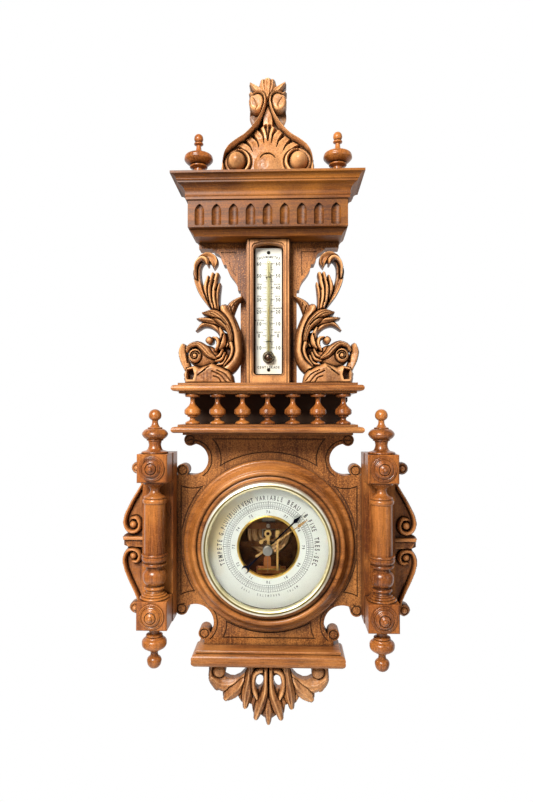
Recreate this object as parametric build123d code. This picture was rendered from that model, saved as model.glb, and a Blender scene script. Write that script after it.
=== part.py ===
from build123d import *
import math
import os

# Carved walnut wall barometer with a thermometer: an aneroid movement in a drum, a boxed scale above it.
# Millimetres. +Z up, the wall is the plane y = 0 and the front faces -Y. Heights are worked out from the
# dial's axis, and save() moves everything so that the origin is the centre of the wall hook's hole.
# "depth" is the distance in front of the wall, which is -y.

hook_height = 390.0          # wall hook hole above the dial's axis
board = 20.0                 # thickness of both carrying boards
rim_radius = 77.2            # bezel, outside
drum_radius = 73.0           # instrument drum, outside
sheet = 1.0                  # brass sheet of the drum
plate_width = 31.5           # thermometer scale
plate_bottom, plate_top = 204.6, 356.5
pillar_x = 128.6             # pillar axis from the centre line
pillar_width = 34.4          # square blocks of the pillars
shelf_bottom, shelf_top = 132.5, 192.0
shelf_thick = 12.0
frieze_bottom, frieze_top, cornice_top = 371.5, 403.0, 430.5
head_half = 84.6             # half width of the upper board behind the frieze
front_axis = 61.5            # depth of the columns' and finials' axes
board_bottom = -120.0
board_half = 150.0           # half width of the lower board, behind the pillars
big = 400.0

os.makedirs("parts", exist_ok=True)


# ---------- helpers ----------

def face(start, *steps):
    """A closed face in XY. A step (x, y) is a straight line, (x, y, bulge) an arc that bulges to the
    right of the way it runs, and a list of points is a curve through them."""
    edges = []
    here = start
    for step in steps:
        if isinstance(step, list):
            edges.append(Spline(here, *step))
            here = step[-1]
        elif len(step) == 3:
            edges.append(SagittaArc(here, step[:2], -step[2]))
            here = step[:2]
        else:
            edges.append(Line(here, step))
            here = step
    if math.dist(here, start) > 1e-6:
        edges.append(Line(here, start))
    return make_face(Curve() + edges)


def cap(radius, low, high, side=1):
    """The last step of a turned profile: a round cap that meets the axis square."""
    rise, chord = abs(high - low), math.hypot(radius, high - low)
    sphere = chord ** 2 / (2 * rise)
    return (0, high, side * (sphere - math.sqrt(sphere ** 2 - chord ** 2 / 4)))


def slab(shape, back, front):
    """A face drawn as (x, height), made solid from depth back to depth front."""
    return Rot(90, 0, 0) * (Pos(0, 0, back) * extrude(shape, front - back, dir=(0, 0, 1)))


def turned(start, *steps, at=(0, 0, 0)):
    """A solid of revolution about a vertical axis, from (radius, height) steps."""
    return Pos(*at) * revolve(Rot(90, 0, 0) * face(start, *steps), Axis.Z)


def faced(start, *steps, x=0.0, z=0.0):
    """A solid of revolution about an axis that points to the front, from (radius, depth) steps."""
    return Pos(x, 0, z) * (Rot(90, 0, 0) * revolve(Rot(90, 0, 0) * face(start, *steps), Axis.Z))


def disc(radius, back, front, x=0.0, z=0.0):
    return slab(Pos(x, z) * Circle(radius), back, front)


def block(x0, x1, z0, z1, back, front):
    return slab(Pos((x0 + x1) / 2, (z0 + z1) / 2) * Rectangle(x1 - x0, z1 - z0), back, front)


def moulding(half_width, front, bottom, *steps):
    """A run of moulding across the front with returns to the wall. Steps are (offset, height), as face()."""
    def profile(reach):
        moved = []
        for step in steps:
            if isinstance(step, list):
                moved.append([(reach + p[0], p[1]) for p in step])
            else:
                moved.append((reach + step[0],) + tuple(step[1:]))
        return face((0, bottom), *moved, (0, steps[-1][1]))

    across = extrude(profile(half_width), big, both=True)
    across = Rot(90, 0, 0) * across
    along = Rot(0, 0, -90) * Rot(90, 0, 0) * extrude(profile(front), big, both=True)
    return (across + mirror(across, about=Plane.YZ)) & along


def pair(solid):
    """The solid and its mirror image across the centre line."""
    return [solid, mirror(solid, about=Plane.YZ)]


def row(solid, places):
    return [Pos(*place) * solid for place in places]


def fuse(solids):
    whole = solids[0]
    for one in solids[1:]:
        whole = whole + one
    return whole


def minus(solid, tools):
    for tool in tools:
        solid = solid - tool
    return solid


def flat_list(things):
    out = []
    for thing in things:
        if isinstance(thing, (list, tuple)):
            out += flat_list(thing)
        else:
            out += list(thing.solids())
    return out


def save(name, *things):
    solids = flat_list(things)
    export_step(Pos(0, 0, -hook_height) * Compound(children=solids), f"parts/{name}.step")
    return solids


# ---------- fasteners ----------

def wood_screw(head, shank, length):
    """A countersunk slotted screw along +depth's opposite: its head's face is at 0 and it runs back."""
    cone = head - shank
    body = faced((0, -length), (0.2, -length), (shank, -length + 2.5), (shank, -cone), (head, 0), (0, 0))
    slot = block(-head, head, -0.35, 0.35, -head * 0.35, 1)
    return body - slot


def countersink(head, shank, length):
    return faced((0, -length - 0.3), (shank, -length - 0.3), (shank, -(head - shank)), (head, 0), (0, 0))


def put(solid, x, depth, z):
    return Pos(x, -depth, z) * solid


# ---------- lower board and its ring ----------

notch_up = (92.0, 101.7, 19.0)        # x, height and radius of the scooped notches
notch_low = (88.0, -94.0, 22.0)
volutes = ((95.0, 125.2, 7.3), (104.0, 88.7, 7.4), (104.8, -77.8, 7.6), (77.3, -107.0, 7.1))
hole_radius = drum_radius + 0.5
ring_radius = 101.5
ring_seat = 38.0                      # depth of the face that carries the drum's flange
line_width, line_depth = 1.4, 1.6     # incised lines


def mirrored_circles(x, z, radius):
    return (Pos(x, z) * Circle(radius)) + (Pos(-x, z) * Circle(radius))


def board_outline():
    shape = Pos(0, 2.5) * Rectangle(2 * board_half, 161)
    shape += Pos(0, 102.5) * Rectangle(190, 60)
    shape += Pos(0, (board_bottom - 70) / 2) * Rectangle(154.6, -70 - board_bottom)
    shape -= mirrored_circles(*notch_up)
    shape -= mirrored_circles(*notch_low)
    for volute in volutes:
        shape += mirrored_circles(*volute)
    return shape


def board_panels(inset):
    """The board's panels, drawn in by an inset: above and below the ring, and a strip at each side."""
    keep, twice = 15.0 + inset, 2 * inset
    up = mirrored_circles(notch_up[0], notch_up[1], notch_up[2] + keep)
    low = mirrored_circles(notch_low[0], notch_low[1], notch_low[2] + keep)
    top = (Pos(0, 107) * Rectangle(160 - twice, 40 - twice)) - Circle(110 + inset) - up
    bottom = (Pos(0, -97) * Rectangle(140 - twice, 30 - twice)) - Circle(104.5 + inset) - low
    sides = Rectangle(212.8 - twice, 150 - twice) - Circle(105 + inset) - up - low
    sides -= Pos(0, 107) * Rectangle(150 + twice, 60 + twice)
    sides -= Pos(0, -97) * Rectangle(140 + twice, 60 + twice)
    return top, bottom, sides


def panel_lines():
    """The incised line round each panel."""
    bands = [outer - inner for outer, inner in zip(board_panels(0), board_panels(line_width))]
    return [face for band in bands for face in band.faces() if face.area > 60]


def edge_grooves():
    """An incised line follows each notch a little inside its edge, between its two volutes."""
    cuts = []
    spans = ((notch_up, (88.7, 125.2), 104.0), (notch_low, (-107.0, -77.8), 104.8))
    for (x, z, radius), (low, high), outer in spans:
        ring = (Pos(x, z) * Circle(radius + 5.2)) - (Pos(x, z) * Circle(radius + 5.2 - line_width))
        kept = ring & (Pos(outer - 25, (low + high) / 2) * Rectangle(50, high - low + 14))
        cuts += [kept, mirror(kept, about=Plane.YZ)]
    return cuts


def volute_rings():
    """Every rolled end of the board has a button left standing in a ring groove."""
    return [mirrored_circles(x, z, radius * 0.80) - mirrored_circles(x, z, radius * 0.60)
            for x, z, radius in volutes]


lower_board = slab(board_outline(), 0, board) - disc(hole_radius, -1, board + 1)
for groove in panel_lines() + edge_grooves() + volute_rings():
    lower_board -= slab(groove, board - line_depth, board + 1)

dial_ring = faced(
    (hole_radius, board), (ring_radius, board), (ring_radius, 24.0), (97.8, 27.6, 1.4), (96.6, 27.6),
    [(94.6, 29.2), (93.0, 32.2), (91.2, 35.0), (89.6, 35.9)], (89.6, 37.5), (85.2, 37.5, 4.6),
    (84.0, 37.5), (78.4, ring_seat, 1.0), (hole_radius, ring_seat))

# ---------- upper board ----------

neck_half = 33.9
head_top = cornice_top - 2.0
upper_bottom = shelf_top


def bracket_edge():
    """The right-hand outline of the shaped bracket under the upper board's head."""
    return [[(66.5, 354.0), (60, 350), (57.6, 344)], (55, 337.7), (51, 337),
            [(49.6, 330.5), (46.0, 324.2), (41.2, 318), (38.2, 312), (37.2, 306)], (neck_half, 305.7)]


def upper_outline():
    half = face((0, upper_bottom), (0, head_top), (head_half, head_top), (head_half, 357), (68.5, 357),
                *bracket_edge(), (neck_half, upper_bottom))
    return half + mirror(half, about=Plane.YZ)


def bracket_panel():
    half = face((39.4, 353), (58.6, 353), [(55.5, 348.4), (53.6, 344.0), (52.4, 341.0)], (47.6, 341),
                [(46.6, 334.5), (43.6, 328.6), (39.4, 322.8)])
    return [half, mirror(half, about=Plane.YZ)]


upper_board = slab(upper_outline(), 0, board)
for sunk_face in bracket_panel():
    upper_board -= slab(sunk_face, board - 1.4, board + 1)

# ---------- hanger ----------

hook_hole, hanger_thick = 4.0, 2.0
hanger_half, hanger_top, hanger_low = 11.0, hook_height + 22.0, hook_height - 22.0


def hanger():
    shape = RectangleRounded(2 * hanger_half, hanger_top - hanger_low, 6.0)
    plate = slab(Pos(0, hook_height) * shape, 0, hanger_thick)
    return plate - disc(hook_hole, -1, hanger_thick + 1, z=hook_height)


hanger_screws = []
for dz in (-15.0, 15.0):
    screw = Rot(0, 0, 180) * wood_screw(3.4, 1.7, 14)
    hanger_screws.append(put(screw, 0, 0, hook_height + dz))
hanger_plate = minus(hanger(), [put(Rot(0, 0, 180) * countersink(3.4, 1.7, 14), 0, 0, hook_height + dz)
                                for dz in (-15.0, 15.0)])
upper_board -= slab(Pos(0, hook_height) * RectangleRounded(2 * hanger_half + 0.4, hanger_top - hanger_low + 0.4, 6.2),
                    0, hanger_thick)
upper_board -= disc(8.0, hanger_thick - 1, 12, z=hook_height)
upper_board = minus(upper_board, [put(Rot(0, 0, 180) * countersink(3.4, 1.7, 14), 0, 0, hook_height + dz)
                                  for dz in (-15.0, 15.0)])

# ---------- frieze, cornice and bed moulding ----------

frieze_half, frieze_front = 92.0, 60.0
bed_bottom = 364.0
flutes, flute_pitch, flute_half, flute_deep = 9, 19.6, 5.6, 3.8


def flute():
    """One scooped flute with a pointed arch for its head and a rounded foot."""
    low, shoulder, head = frieze_bottom + 3.0, frieze_bottom + 18.5, frieze_bottom + 27.0
    scoop = face((-flute_half, low), (0, low, 1.0), (flute_half, low, 1.0), (flute_half, shoulder),
                 (0, head, 1.3), (-flute_half, shoulder, 1.3))
    radius = ((flute_half + 0.4) ** 2 + flute_deep ** 2) / (2 * flute_deep)
    hollow = Pos(0, -frieze_front - radius + flute_deep, shoulder) * Cylinder(radius, 60)
    return slab(scoop, frieze_front - 8, frieze_front + 1) & hollow


frieze = block(-frieze_half, frieze_half, frieze_bottom, frieze_top, 0, frieze_front)
frieze -= block(-head_half, head_half, frieze_bottom - 1, frieze_top + 1, -1, board)
for place in range(flutes):
    frieze -= Pos((place - (flutes - 1) / 2) * flute_pitch, 0, 0) * flute()

cornice = moulding(
    frieze_half, frieze_front, frieze_top,
    *((out, frieze_top + up, *bend) for out, up, *bend in [
        (2.2, 0), (2.2, 2.9), (3.0, 3.9), (8.6, 15.9, -2.6), (10.2, 16.9), (10.2, 18.7), (11.6, 20.8, 0.6),
        (16.2, 24.9, -0.8), (17.6, 24.9), (17.6, cornice_top - frieze_top)]))
cornice -= block(-head_half, head_half, frieze_top - 1, head_top, -1, board)

bed_moulding = moulding(86.0, 48.0, bed_bottom,
                        (0, bed_bottom), (5.4, frieze_bottom - 1.2, -0.8), (5.4, frieze_bottom))
bed_moulding -= block(-head_half, head_half, bed_bottom - 3, frieze_bottom + 1, -1, board)

# ---------- shelves and gallery ----------


def shelf(bottom, fillet):
    """Fillet, rounded nose and a small step on top."""
    return moulding(97.0, 60.5, bottom,
                    (fillet, bottom), (fillet, bottom + 2.4), (8.6, bottom + 2.6), (8.6, bottom + 9.4, 3.2),
                    (5.0, bottom + 9.6), (5.0, bottom + shelf_thick))


lower_shelf = shelf(shelf_bottom, 0.0)
upper_shelf = shelf(shelf_top - shelf_thick, 4.0)
gallery_bottom, gallery_top = shelf_bottom + shelf_thick, shelf_top - shelf_thick
gallery_half_face = face((0, gallery_bottom), (90, gallery_bottom), (90, 150), (94.5, 152), (94.5, 158),
                         (90.5, 161), (90.5, 165), (95.5, 172), (95.5, gallery_top), (0, gallery_top))
gallery_back = slab(gallery_half_face + mirror(gallery_half_face, about=Plane.YZ), 0, 12)


def baluster():
    """Turned spindle: foot torus, waist, bell with a thin ring under it, neck and cap disc."""
    z0, z1 = gallery_bottom, gallery_top
    return turned((0, z0), (8.0, z0), (7.2, z0 + 3.2, 0.8), (5.2, z0 + 4.2), (3.1, z0 + 6.2, -0.5),
                  (3.2, z0 + 8.4), (5.6, z0 + 9.0), (5.6, z0 + 10.2, 0.4), (6.8, z0 + 10.7),
                  (9.3, z0 + 14.8, 1.2), (8.0, z0 + 18.2, 0.6), (4.8, z0 + 21.4), (2.8, z0 + 28.6, -0.9),
                  (2.9, z0 + 31.0), (7.8, z0 + 31.6), (7.8, z1, 1.0), (0, z1))


baluster_depth, baluster_pitch = 55.0, 28.85
balusters = row(baluster(), [(k * baluster_pitch, -baluster_depth, 0) for k in range(-3, 4)])

# ---------- thermometer box ----------

box_half, box_bottom, box_top, box_front = 25.8, shelf_top, 363.0, 38.0
opening_half, opening_bottom, opening_top = 18.0, 202.3, 357.6


def box_opening(grow=0.0):
    half, low, high = opening_half + grow, opening_bottom - grow, opening_top + grow
    corner = 5.0
    return face((-half + corner, low), (half - corner, low), (half, low + corner, 1.4), (half, high - corner),
                (half - corner, high, 1.4), (-half + corner, high, 2.4), (-half, high - corner, 1.4),
                (-half, low + corner), (-half + corner, low, 1.4))


thermometer_frame = block(-box_half, box_half, box_bottom, box_top, board, box_front)
thermometer_frame -= slab(box_opening(), board - 1, box_front + 1)
thermometer_frame -= slab(box_opening(1.6), box_front - 2.2, box_front + 1)
for side in (1, -1):
    outer = block(21.6, 22.9, box_bottom - 1, box_top + 1, box_front - 1.3, box_front + 1)
    rebate = block(24.6, 27, box_bottom - 1, box_top + 1, box_front - 3.2, box_front + 1)
    for cut in (outer, rebate):
        thermometer_frame -= cut if side == 1 else mirror(cut, about=Plane.YZ)

plate_back, plate_front = board, board + 2.2
bulb_height, bulb_radius, tube_radius, tube_top = 224.5, 6.9, 2.3, 342.0
column_top, bore_radius = 283.5, 0.9
staple_heights = (320.0, 243.0)
plate_screws = (351.0, 209.5)
centre = (plate_bottom + plate_top) / 2
plate_face = RectangleRounded(plate_width, plate_top - plate_bottom, 1.2)
thermometer_plate = slab(Pos(0, centre) * plate_face, plate_back, plate_front)

tube_axis = plate_front + bulb_radius - 2.6


def tube_shape(wall, top):
    """Bulb and stem as one turned shape, drawn in by the wall's thickness."""
    ball, stem = bulb_radius - wall, tube_radius - wall
    return turned((0, bulb_height - ball), (ball, bulb_height, ball * 0.2929),
                  (stem, bulb_height + ball - 0.4, ball * 0.22), (stem, top), (0, top), at=(0, -tube_axis, 0))


wall = tube_radius - bore_radius
thermometer_tube = tube_shape(0, tube_top)
thermometer_tube = fillet(thermometer_tube.faces().sort_by(Axis.Z)[-1].edges(), 1.2)
thermometer_tube -= tube_shape(wall, tube_top - 4)
liquid_shape = tube_shape(wall, column_top)
bulb_pocket = faced((0, plate_back), (bulb_radius + 0.4, plate_back), (bulb_radius + 0.4, plate_front + 1),
                    (0, plate_front + 1), z=bulb_height)
thermometer_plate -= bulb_pocket
thermometer_frame -= slab(Pos(0, centre) * Rectangle(plate_width + 0.6, plate_top - plate_bottom + 0.6),
                          board - 1, plate_front + 0.1)
upper_board -= faced((0, board - 1.5), (bulb_radius + 0.4, board - 1.5), (bulb_radius + 0.4, board + 1),
                     (0, board + 1), z=bulb_height)


def staple(height):
    """A wire staple over the tube: two legs through the scale into the board."""
    wire, reach, tip = 0.5, tube_radius + 0.55, board - 5
    path = Wire([Line((-reach, -tip), (-reach, -tube_axis)),
                 SagittaArc((-reach, -tube_axis), (reach, -tube_axis), -reach),
                 Line((reach, -tube_axis), (reach, -tip))])
    start = Plane(origin=(-reach, -tip, 0), z_dir=(0, -1, 0))
    return Pos(0, 0, height) * sweep(start * Circle(wire), path)


staples = [staple(height) for height in staple_heights]
thermometer_plate = minus(thermometer_plate, staples)
upper_board = minus(upper_board, staples)
scale_screws = [put(faced((0, -9), (0.2, -9), (0.9, -7.5), (0.9, 0), (2.1, 0), (2.0, 0.7), (0.9, 1.3, 0.3),
                          (0, 1.4)), 0, plate_front, z) for z in plate_screws]
thermometer_plate = minus(thermometer_plate, scale_screws)
upper_board = minus(upper_board, scale_screws)

# ---------- pillars ----------

pilaster_half, pilaster_bottom, pilaster_top, pilaster_front = 18.0, -84.5, 111.5, 45.0
block_front, block_height = 78.0, 32.0
upper_block_low, lower_block_low = 79.5, -84.5


def pilaster(x):
    return block(x - pilaster_half, x + pilaster_half, pilaster_bottom, pilaster_top, board, pilaster_front)


def pillar_block(x, low):
    half = pillar_width / 2
    solid = block(x - half, x + half, low, low + block_height, pilaster_front, block_front)
    return chamfer(solid.faces().sort_by(Axis.Y)[0].edges(), 1.2)


def boss(x, z):
    """Turned button on a block's face, with two fine rings, a dome and a nipple."""
    f = block_front
    return faced((0, f), (13.4, f), (13.2, f + 2.2, 0.9), (12.0, f + 2.0), (11.8, f + 3.2, 0.5),
                 (10.6, f + 2.6), (9.6, f + 3.2), (8.6, f + 5.6, 0.6), (6.6, f + 6.8, 0.5), (6.2, f + 5.8),
                 (5.4, f + 6.2), (4.6, f + 8.4, 0.7), (2.9, f + 9.4), (2.9, f + 8.8), (2.4, f + 9.0),
                 (2.2, f + 10.8, 0.4), cap(2.2, f + 10.8, f + 12.0), x=x, z=z)


def column(x):
    """Turned column between the two blocks: stepped foot, ball, discs, shaft, torus and neck."""
    foot, shaft = lower_block_low + block_height, 12.0
    return turned((0, foot), (15.6, foot), (15.8, -50.2, 0.6), (13.6, -49.6), (13.4, -47.8, 0.5),
                  (11.6, -47.2), (11.2, -45.4, 0.4), (9.6, -44.8), (9.2, -42.6, -0.3), (10.6, -42.2),
                  (10.9, -39.0, 0.8), (8.4, -38.2), (8.3, -37.6), (13.3, -28.4, 1.5), (9.4, -19.4, 1.5),
                  (9.2, -17.0), (12.6, -15.6), (13.2, -12.8, 0.6), (11.8, -12.2), (12.0, -11.4),
                  (14.6, -5.8, 1.0), (13.7, -4.8), (14.5, -2.4, 0.6), (shaft, -1.8), (shaft, 54.6),
                  (13.0, 55.0), (13.0, 60.0, 0.9), (shaft, 60.4), (12.2, 62.8, 0.5), (9.4, 64.2),
                  (5.2, 70.2, -1.0), (7.4, 73.8, -0.4), (12.6, 77.0, -0.5), (12.8, upper_block_low),
                  (0, upper_block_low), at=(x, -front_axis, 0))


def pillar_finial(x):
    z = pilaster_top
    return turned((0, z), (15.0, z), (14.4, z + 2.4, 0.7), (12.0, z + 3.2), (7.6, z + 6.8, -1.0),
                  (6.9, z + 10.4, -0.2), (7.8, z + 14.4), (9.2, z + 14.8), (9.2, z + 16.0, 0.4),
                  (10.0, z + 16.4), (14.9, z + 22.2, 0.9), (9.0, z + 28.2, 1.1), (8.2, z + 28.4),
                  (7.8, z + 29.8, 0.4), (6.0, z + 30.2), (3.4, z + 36.6, -0.8), (3.5, z + 37.8),
                  (7.2, z + 43.8, 1.2), cap(7.2, z + 43.8, z + 50.6), at=(x, -front_axis, 0))


def pillar_drop(x):
    """Hanging finial: flared collar, neck, two rings, a turnip bulb, neck and ball."""
    z = lower_block_low
    return turned((0, z), (11.5, z), (6.2, z - 3.4, 0.9), (5.8, z - 7.6), (8.6, z - 8.4),
                  (9.4, z - 10.2, -0.5), (8.8, z - 10.8), (10.8, z - 13.0, -0.4), (14.0, z - 18.0, -1.2),
                  (10.6, z - 24.4, -1.2), (4.8, z - 27.8), (4.2, z - 30.4, 0.3), (4.6, z - 33.0),
                  (8.0, z - 40.0, -1.6), cap(8.0, z - 40.0, z - 47.4, -1), at=(x, -front_axis, 0))


sides_x = (-pillar_x, pillar_x)
pilasters = [pilaster(x) for x in sides_x]
upper_blocks = [pillar_block(x, upper_block_low) for x in sides_x]
lower_blocks = [pillar_block(x, lower_block_low) for x in sides_x]
block_bosses = [boss(x, low + block_height / 2) for x in sides_x for low in (upper_block_low, lower_block_low)]
columns = [column(x) for x in sides_x]
pillar_finials = [pillar_finial(x) for x in sides_x]
pillar_drops = [pillar_drop(x) for x in sides_x]

# ---------- cornice finials ----------

finial_x, finial_depth = 81.5, 45.0


def cornice_finial():
    z = cornice_top
    return turned((0, z), (9.4, z), (9.4, z + 2.2, 0.5), (6.0, z + 3.6), (5.2, z + 10.0, -0.8),
                  (5.6, z + 13.6), (10.0, z + 15.4), (10.0, z + 17.4, 0.5), (8.2, z + 18.4),
                  (15.6, z + 22.6, 0.9), (16.5, z + 26.4, 0.7), (12.0, z + 30.8, 1.4), (7.2, z + 33.4, -0.6),
                  (3.0, z + 38.6, -1.2), (2.6, z + 41.6), (5.0, z + 42.6), (5.0, z + 44.6, 0.5), (3.0, z + 45.4),
                  (5.25, z + 50.3, 0.9), cap(5.25, z + 50.3, z + 55.5), at=(0, -finial_depth, 0))


cornice_finials = row(cornice_finial(), [(-finial_x, 0, 0), (finial_x, 0, 0)])

# ---------- carved pieces ----------


def crest():
    """Two volutes, a waisted body with rolled ears and a plume on top."""
    z = cornice_top
    half = face((0, z), (53.7, z), (53.7, 446), [(52.6, 457), (47.5, 467), (38, 475), (27, 482), (18, 489)],
                [(13.6, 493.5), (17.6, 499.5), (22.0, 508), (22.6, 518), (18.5, 526)], (17.5, 529),
                [(18.6, 535), (19, 541)], [(13.6, 540.4), (9.5, 538.5)], [(8.5, 542), (4, 548.5), (0, 549)])
    body = half + mirror(half, about=Plane.YZ)
    core = face((0, z), (26, z), [(27, 448), (22, 468), (12, 486), (9.5, 497), (11, 520), (8, 536), (0, 544)])
    solid = slab(body, 38, 56) + slab(core + mirror(core, about=Plane.YZ), 56, 63)
    for side in (1, -1):
        eye = faced((0, 54), (13.5, 54), (13.5, 60.0, 1.0), (9.0, 60.6), (8.2, 63.0, 0.8), cap(8.2, 63.0, 65.0),
                    x=side * 36, z=456.5)
        solid += eye
    return solid


def dolphin():
    """Scaly dolphin standing on its chin: head at the foot, body and tail rising into a hooked scroll."""
    shape = face(
        (-40, 192), [(-41.5, 199), (-43.6, 206.1)], [(-37.1, 213.8), (-32.9, 221.5), (-32, 234),
                                                     (-33.2, 248.4), (-37.7, 262.8), (-40.6, 275.6)],
        [(-37.5, 284), (-30, 293.4)], (-32.1, 295.8), [(-45, 289), (-54, 280)],
        [(-58.6, 288.5), (-57.6, 300), (-56.1, 310), (-58.9, 322.4)], [(-64, 323.4), (-71.7, 320.3)],
        (-76.4, 313.2), [(-80.2, 325.3), (-76, 332.6), (-69.9, 332.3), (-65, 328.8)],
        [(-60.3, 337.3), (-62.6, 347.9), (-74.6, 349.3), (-85.9, 338.7), (-89.8, 327.4), (-85.2, 308.9),
         (-77, 293), (-67.5, 280.7)],
        [(-77.1, 274.2), (-84.8, 266), (-85.9, 254)], [(-75.8, 259.7), (-64, 257.4), (-58.2, 249)],
        [(-63, 247.3), (-70, 246.8), (-74, 238)], [(-81.1, 241.0), (-88.4, 240.1), (-94.3, 234)],
        (-102.6, 239.2), [(-107.4, 231), (-104.6, 221), (-97.3, 213.2)], (-100.3, 206.7), (-100.3, 192))
    body = face((-47, 200), [(-37.5, 222), (-38.5, 248), (-46.5, 268), (-60, 290)],
                [(-66, 280), (-55, 262), (-49, 244), (-52, 222), (-60, 206)])
    solid = slab(shape, board, 40) + slab(body, 40, 47)
    for x, z, radius, top in ((-85.9, 225.2, 9.5, 46), (-69.2, 232, 12.5, 45), (-74.6, 340, 7.0, 43)):
        solid += faced((0, 39), (radius, 39), (radius - 1, top - 2, 0.6), cap(radius - 1, top - 2, top), x=x, z=z)
    return solid


def side_scroll():
    """Double scroll with sunk grounds outside a pillar, with ears at both ends and a block in the middle."""
    shape = face(
        (150, 84), (150, 74), [(156, 68), (166, 50), (173.6, 36), (175.6, 24), (171, 14)], (176, 9),
        (176, -3), (171.5, -5), [(176.2, -17), (174.5, -30), (169, -44), (160, -60), (156.5, -68)],
        (150, -74), (150, -84)) + (Pos(159.7, 91) * Circle(7.2)) + (Pos(161.4, -77.6) * Circle(7.3))
    for x, z in ((155, 84), (156, -76)):
        shape += Pos(x, z) * Rectangle(10, 10)
    solid = slab(shape, 6, 20)
    for z in (23.5, -13.0):
        solid += faced((0, 19), (7.0, 19), (6.4, 23.0, 0.4), cap(6.4, 23.0, 24.0), x=163, z=z)
    for x, z in ((159.7, 91.0), (161.4, -77.6)):
        solid += faced((0, 19), (7.0, 19), (6.4, 23.0, 0.4), cap(6.4, 23.0, 24.0), x=x, z=z)
    solid += block(155, 176, 3, 9, 19, 24)
    ground = 16.0
    solid -= slab(face((150, 66), [(155, 58), (163, 46), (170, 34)], [(164, 28), (156, 22), (155, 12)], (150, 10)),
                  ground, 25)
    solid -= slab(face((150, -8), [(155, -20), (160, -26), (169, -28)], [(165, -44), (154, -62)], (150, -64)),
                  ground, 25)
    return solid


def pendant():
    """Hanging bunch of leaves under the base moulding."""
    z = -138.5
    half = face(
        (0, z), (72, z), [(70.4, -150), (69.6, -163), (63.6, -171), (54.7, -172.5)],
        [(54.6, -180), (47.8, -183), (38, -177)], [(34, -184), (29, -191)], [(22.5, -188.6), (20, -189)],
        [(18.6, -198), (15.7, -204.6)], [(10, -200.7), (4.3, -204.6)], (0, -210.5))
    lens = face((28.5, z - 3), (52, z - 3), [(47, -150.5), (40, -154.6), (33, -150.5), (28.5, z - 3)])
    oval = Pos(11.4, -160) * Rot(0, 0, 14) * Ellipse(4.6, 7.8)
    half = half - lens - oval
    return slab(half + mirror(half, about=Plane.YZ), 15, 33)


dolphin_left = dolphin()
dolphin_right = mirror(dolphin_left, about=Plane.YZ)
side_scroll_right = side_scroll()
side_scroll_left = mirror(side_scroll_right, about=Plane.YZ)

base_moulding = moulding(83.5, 39.0, board_bottom - 18.5,
                         (0, board_bottom - 18.5), (3.6, board_bottom - 17.2, 0.5),
                         (5.9, board_bottom - 10.6, 1.2), (3.6, board_bottom - 4.2, 1.2),
                         (0.6, board_bottom - 3.4), (0.6, board_bottom, 0.7))

# ---------- drum, dial, bezel and glass ----------

drum_back, drum_front = 2.0, ring_seat
flange_front, flange_radius = ring_seat + 1.2, 76.6
dial_radius, dial_back, dial_front, dial_hole = 71.6, 33.2, 34.0, 35.5

drum_case = faced((0, drum_back), (drum_radius, drum_back), (drum_radius, drum_front),
                  (flange_radius, drum_front), (flange_radius, flange_front), (drum_radius - sheet, flange_front),
                  (drum_radius - sheet, drum_back + sheet), (0, drum_back + sheet))
flange_screw_radius, flange_screw_head, flange_screw_shank = 74.9, 1.55, 0.8
flange_places = [(flange_screw_radius * math.sin(math.radians(a)), flange_screw_radius * math.cos(math.radians(a)))
                 for a in (60, 180, 300)]
drum_screws = [put(wood_screw(flange_screw_head, flange_screw_shank, 12), x, flange_front, z)
               for x, z in flange_places]
flange_holes = [put(countersink(flange_screw_head, flange_screw_shank, 12), x, flange_front, z)
                for x, z in flange_places]
drum_case = minus(drum_case, flange_holes)
dial_ring = minus(dial_ring, flange_holes)

dial = faced((dial_hole, dial_back), (dial_radius, dial_back), (dial_radius, dial_front), (dial_hole, dial_front))
dial_rim = faced((34.2, dial_back - 1.4), (dial_hole, dial_back - 1.4), (dial_hole, dial_front),
                 (36.8, dial_front), (36.6, dial_front + 0.9, 0.3), (34.8, dial_front + 1.1, 0.25),
                 (34.2, dial_front + 0.3))
glass_back, glass_front, glass_radius, spindle_hole = 42.6, 45.6, 73.2, 1.9
glass = faced((spindle_hole, glass_back), (glass_radius, glass_back), (glass_radius, glass_front - 2.0),
              (glass_radius - 7.5, glass_front), (spindle_hole, glass_front))
bezel = faced((72.4, flange_front), (rim_radius, flange_front), (rim_radius, 45.6), (75.4, 49.4, 1.0),
              (72.6, 50.0, 0.4), (70.6, 48.6, 0.3), (70.0, 46.0, -0.2), (70.0, 45.2), (73.3, 43.8),
              (73.3, glass_back),
              (70.4, glass_back), (70.4, glass_back - 1.6), (72.4, glass_back - 1.6))

# ---------- movement ----------

plate_rear = drum_back + sheet
movement_plate_front = plate_rear + 1.8
capsule_z, capsule_radius = 13.5, 28.0
capsule_mid, capsule_top = 10.0, 15.0
strap_low, strap_high, strap_back, strap_front = 20.0, 28.0, 25.6, 27.8
leg_x = 31.6

movement_plate = disc(69, plate_rear, movement_plate_front)


def capsule_half(seam, crown):
    """Half of the corrugated capsule, from its seam to its waved crown, with a rim and a flat centre."""
    wave, pitch, rings = 0.7, 5.0, 4
    sign = 1 if crown > seam else -1
    radius = capsule_radius - 2.0
    steps = [(capsule_radius, seam), (capsule_radius, seam + (crown - seam) * 0.25), (radius, crown)]
    for ring in range(rings):
        steps.append([(radius - pitch / 4, crown + sign * wave), (radius - pitch / 2, crown),
                      (radius - pitch * 3 / 4, crown - sign * wave), (radius - pitch, crown)])
        radius -= pitch
    return faced((0, seam), *steps, (0, crown), z=capsule_z)


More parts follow.
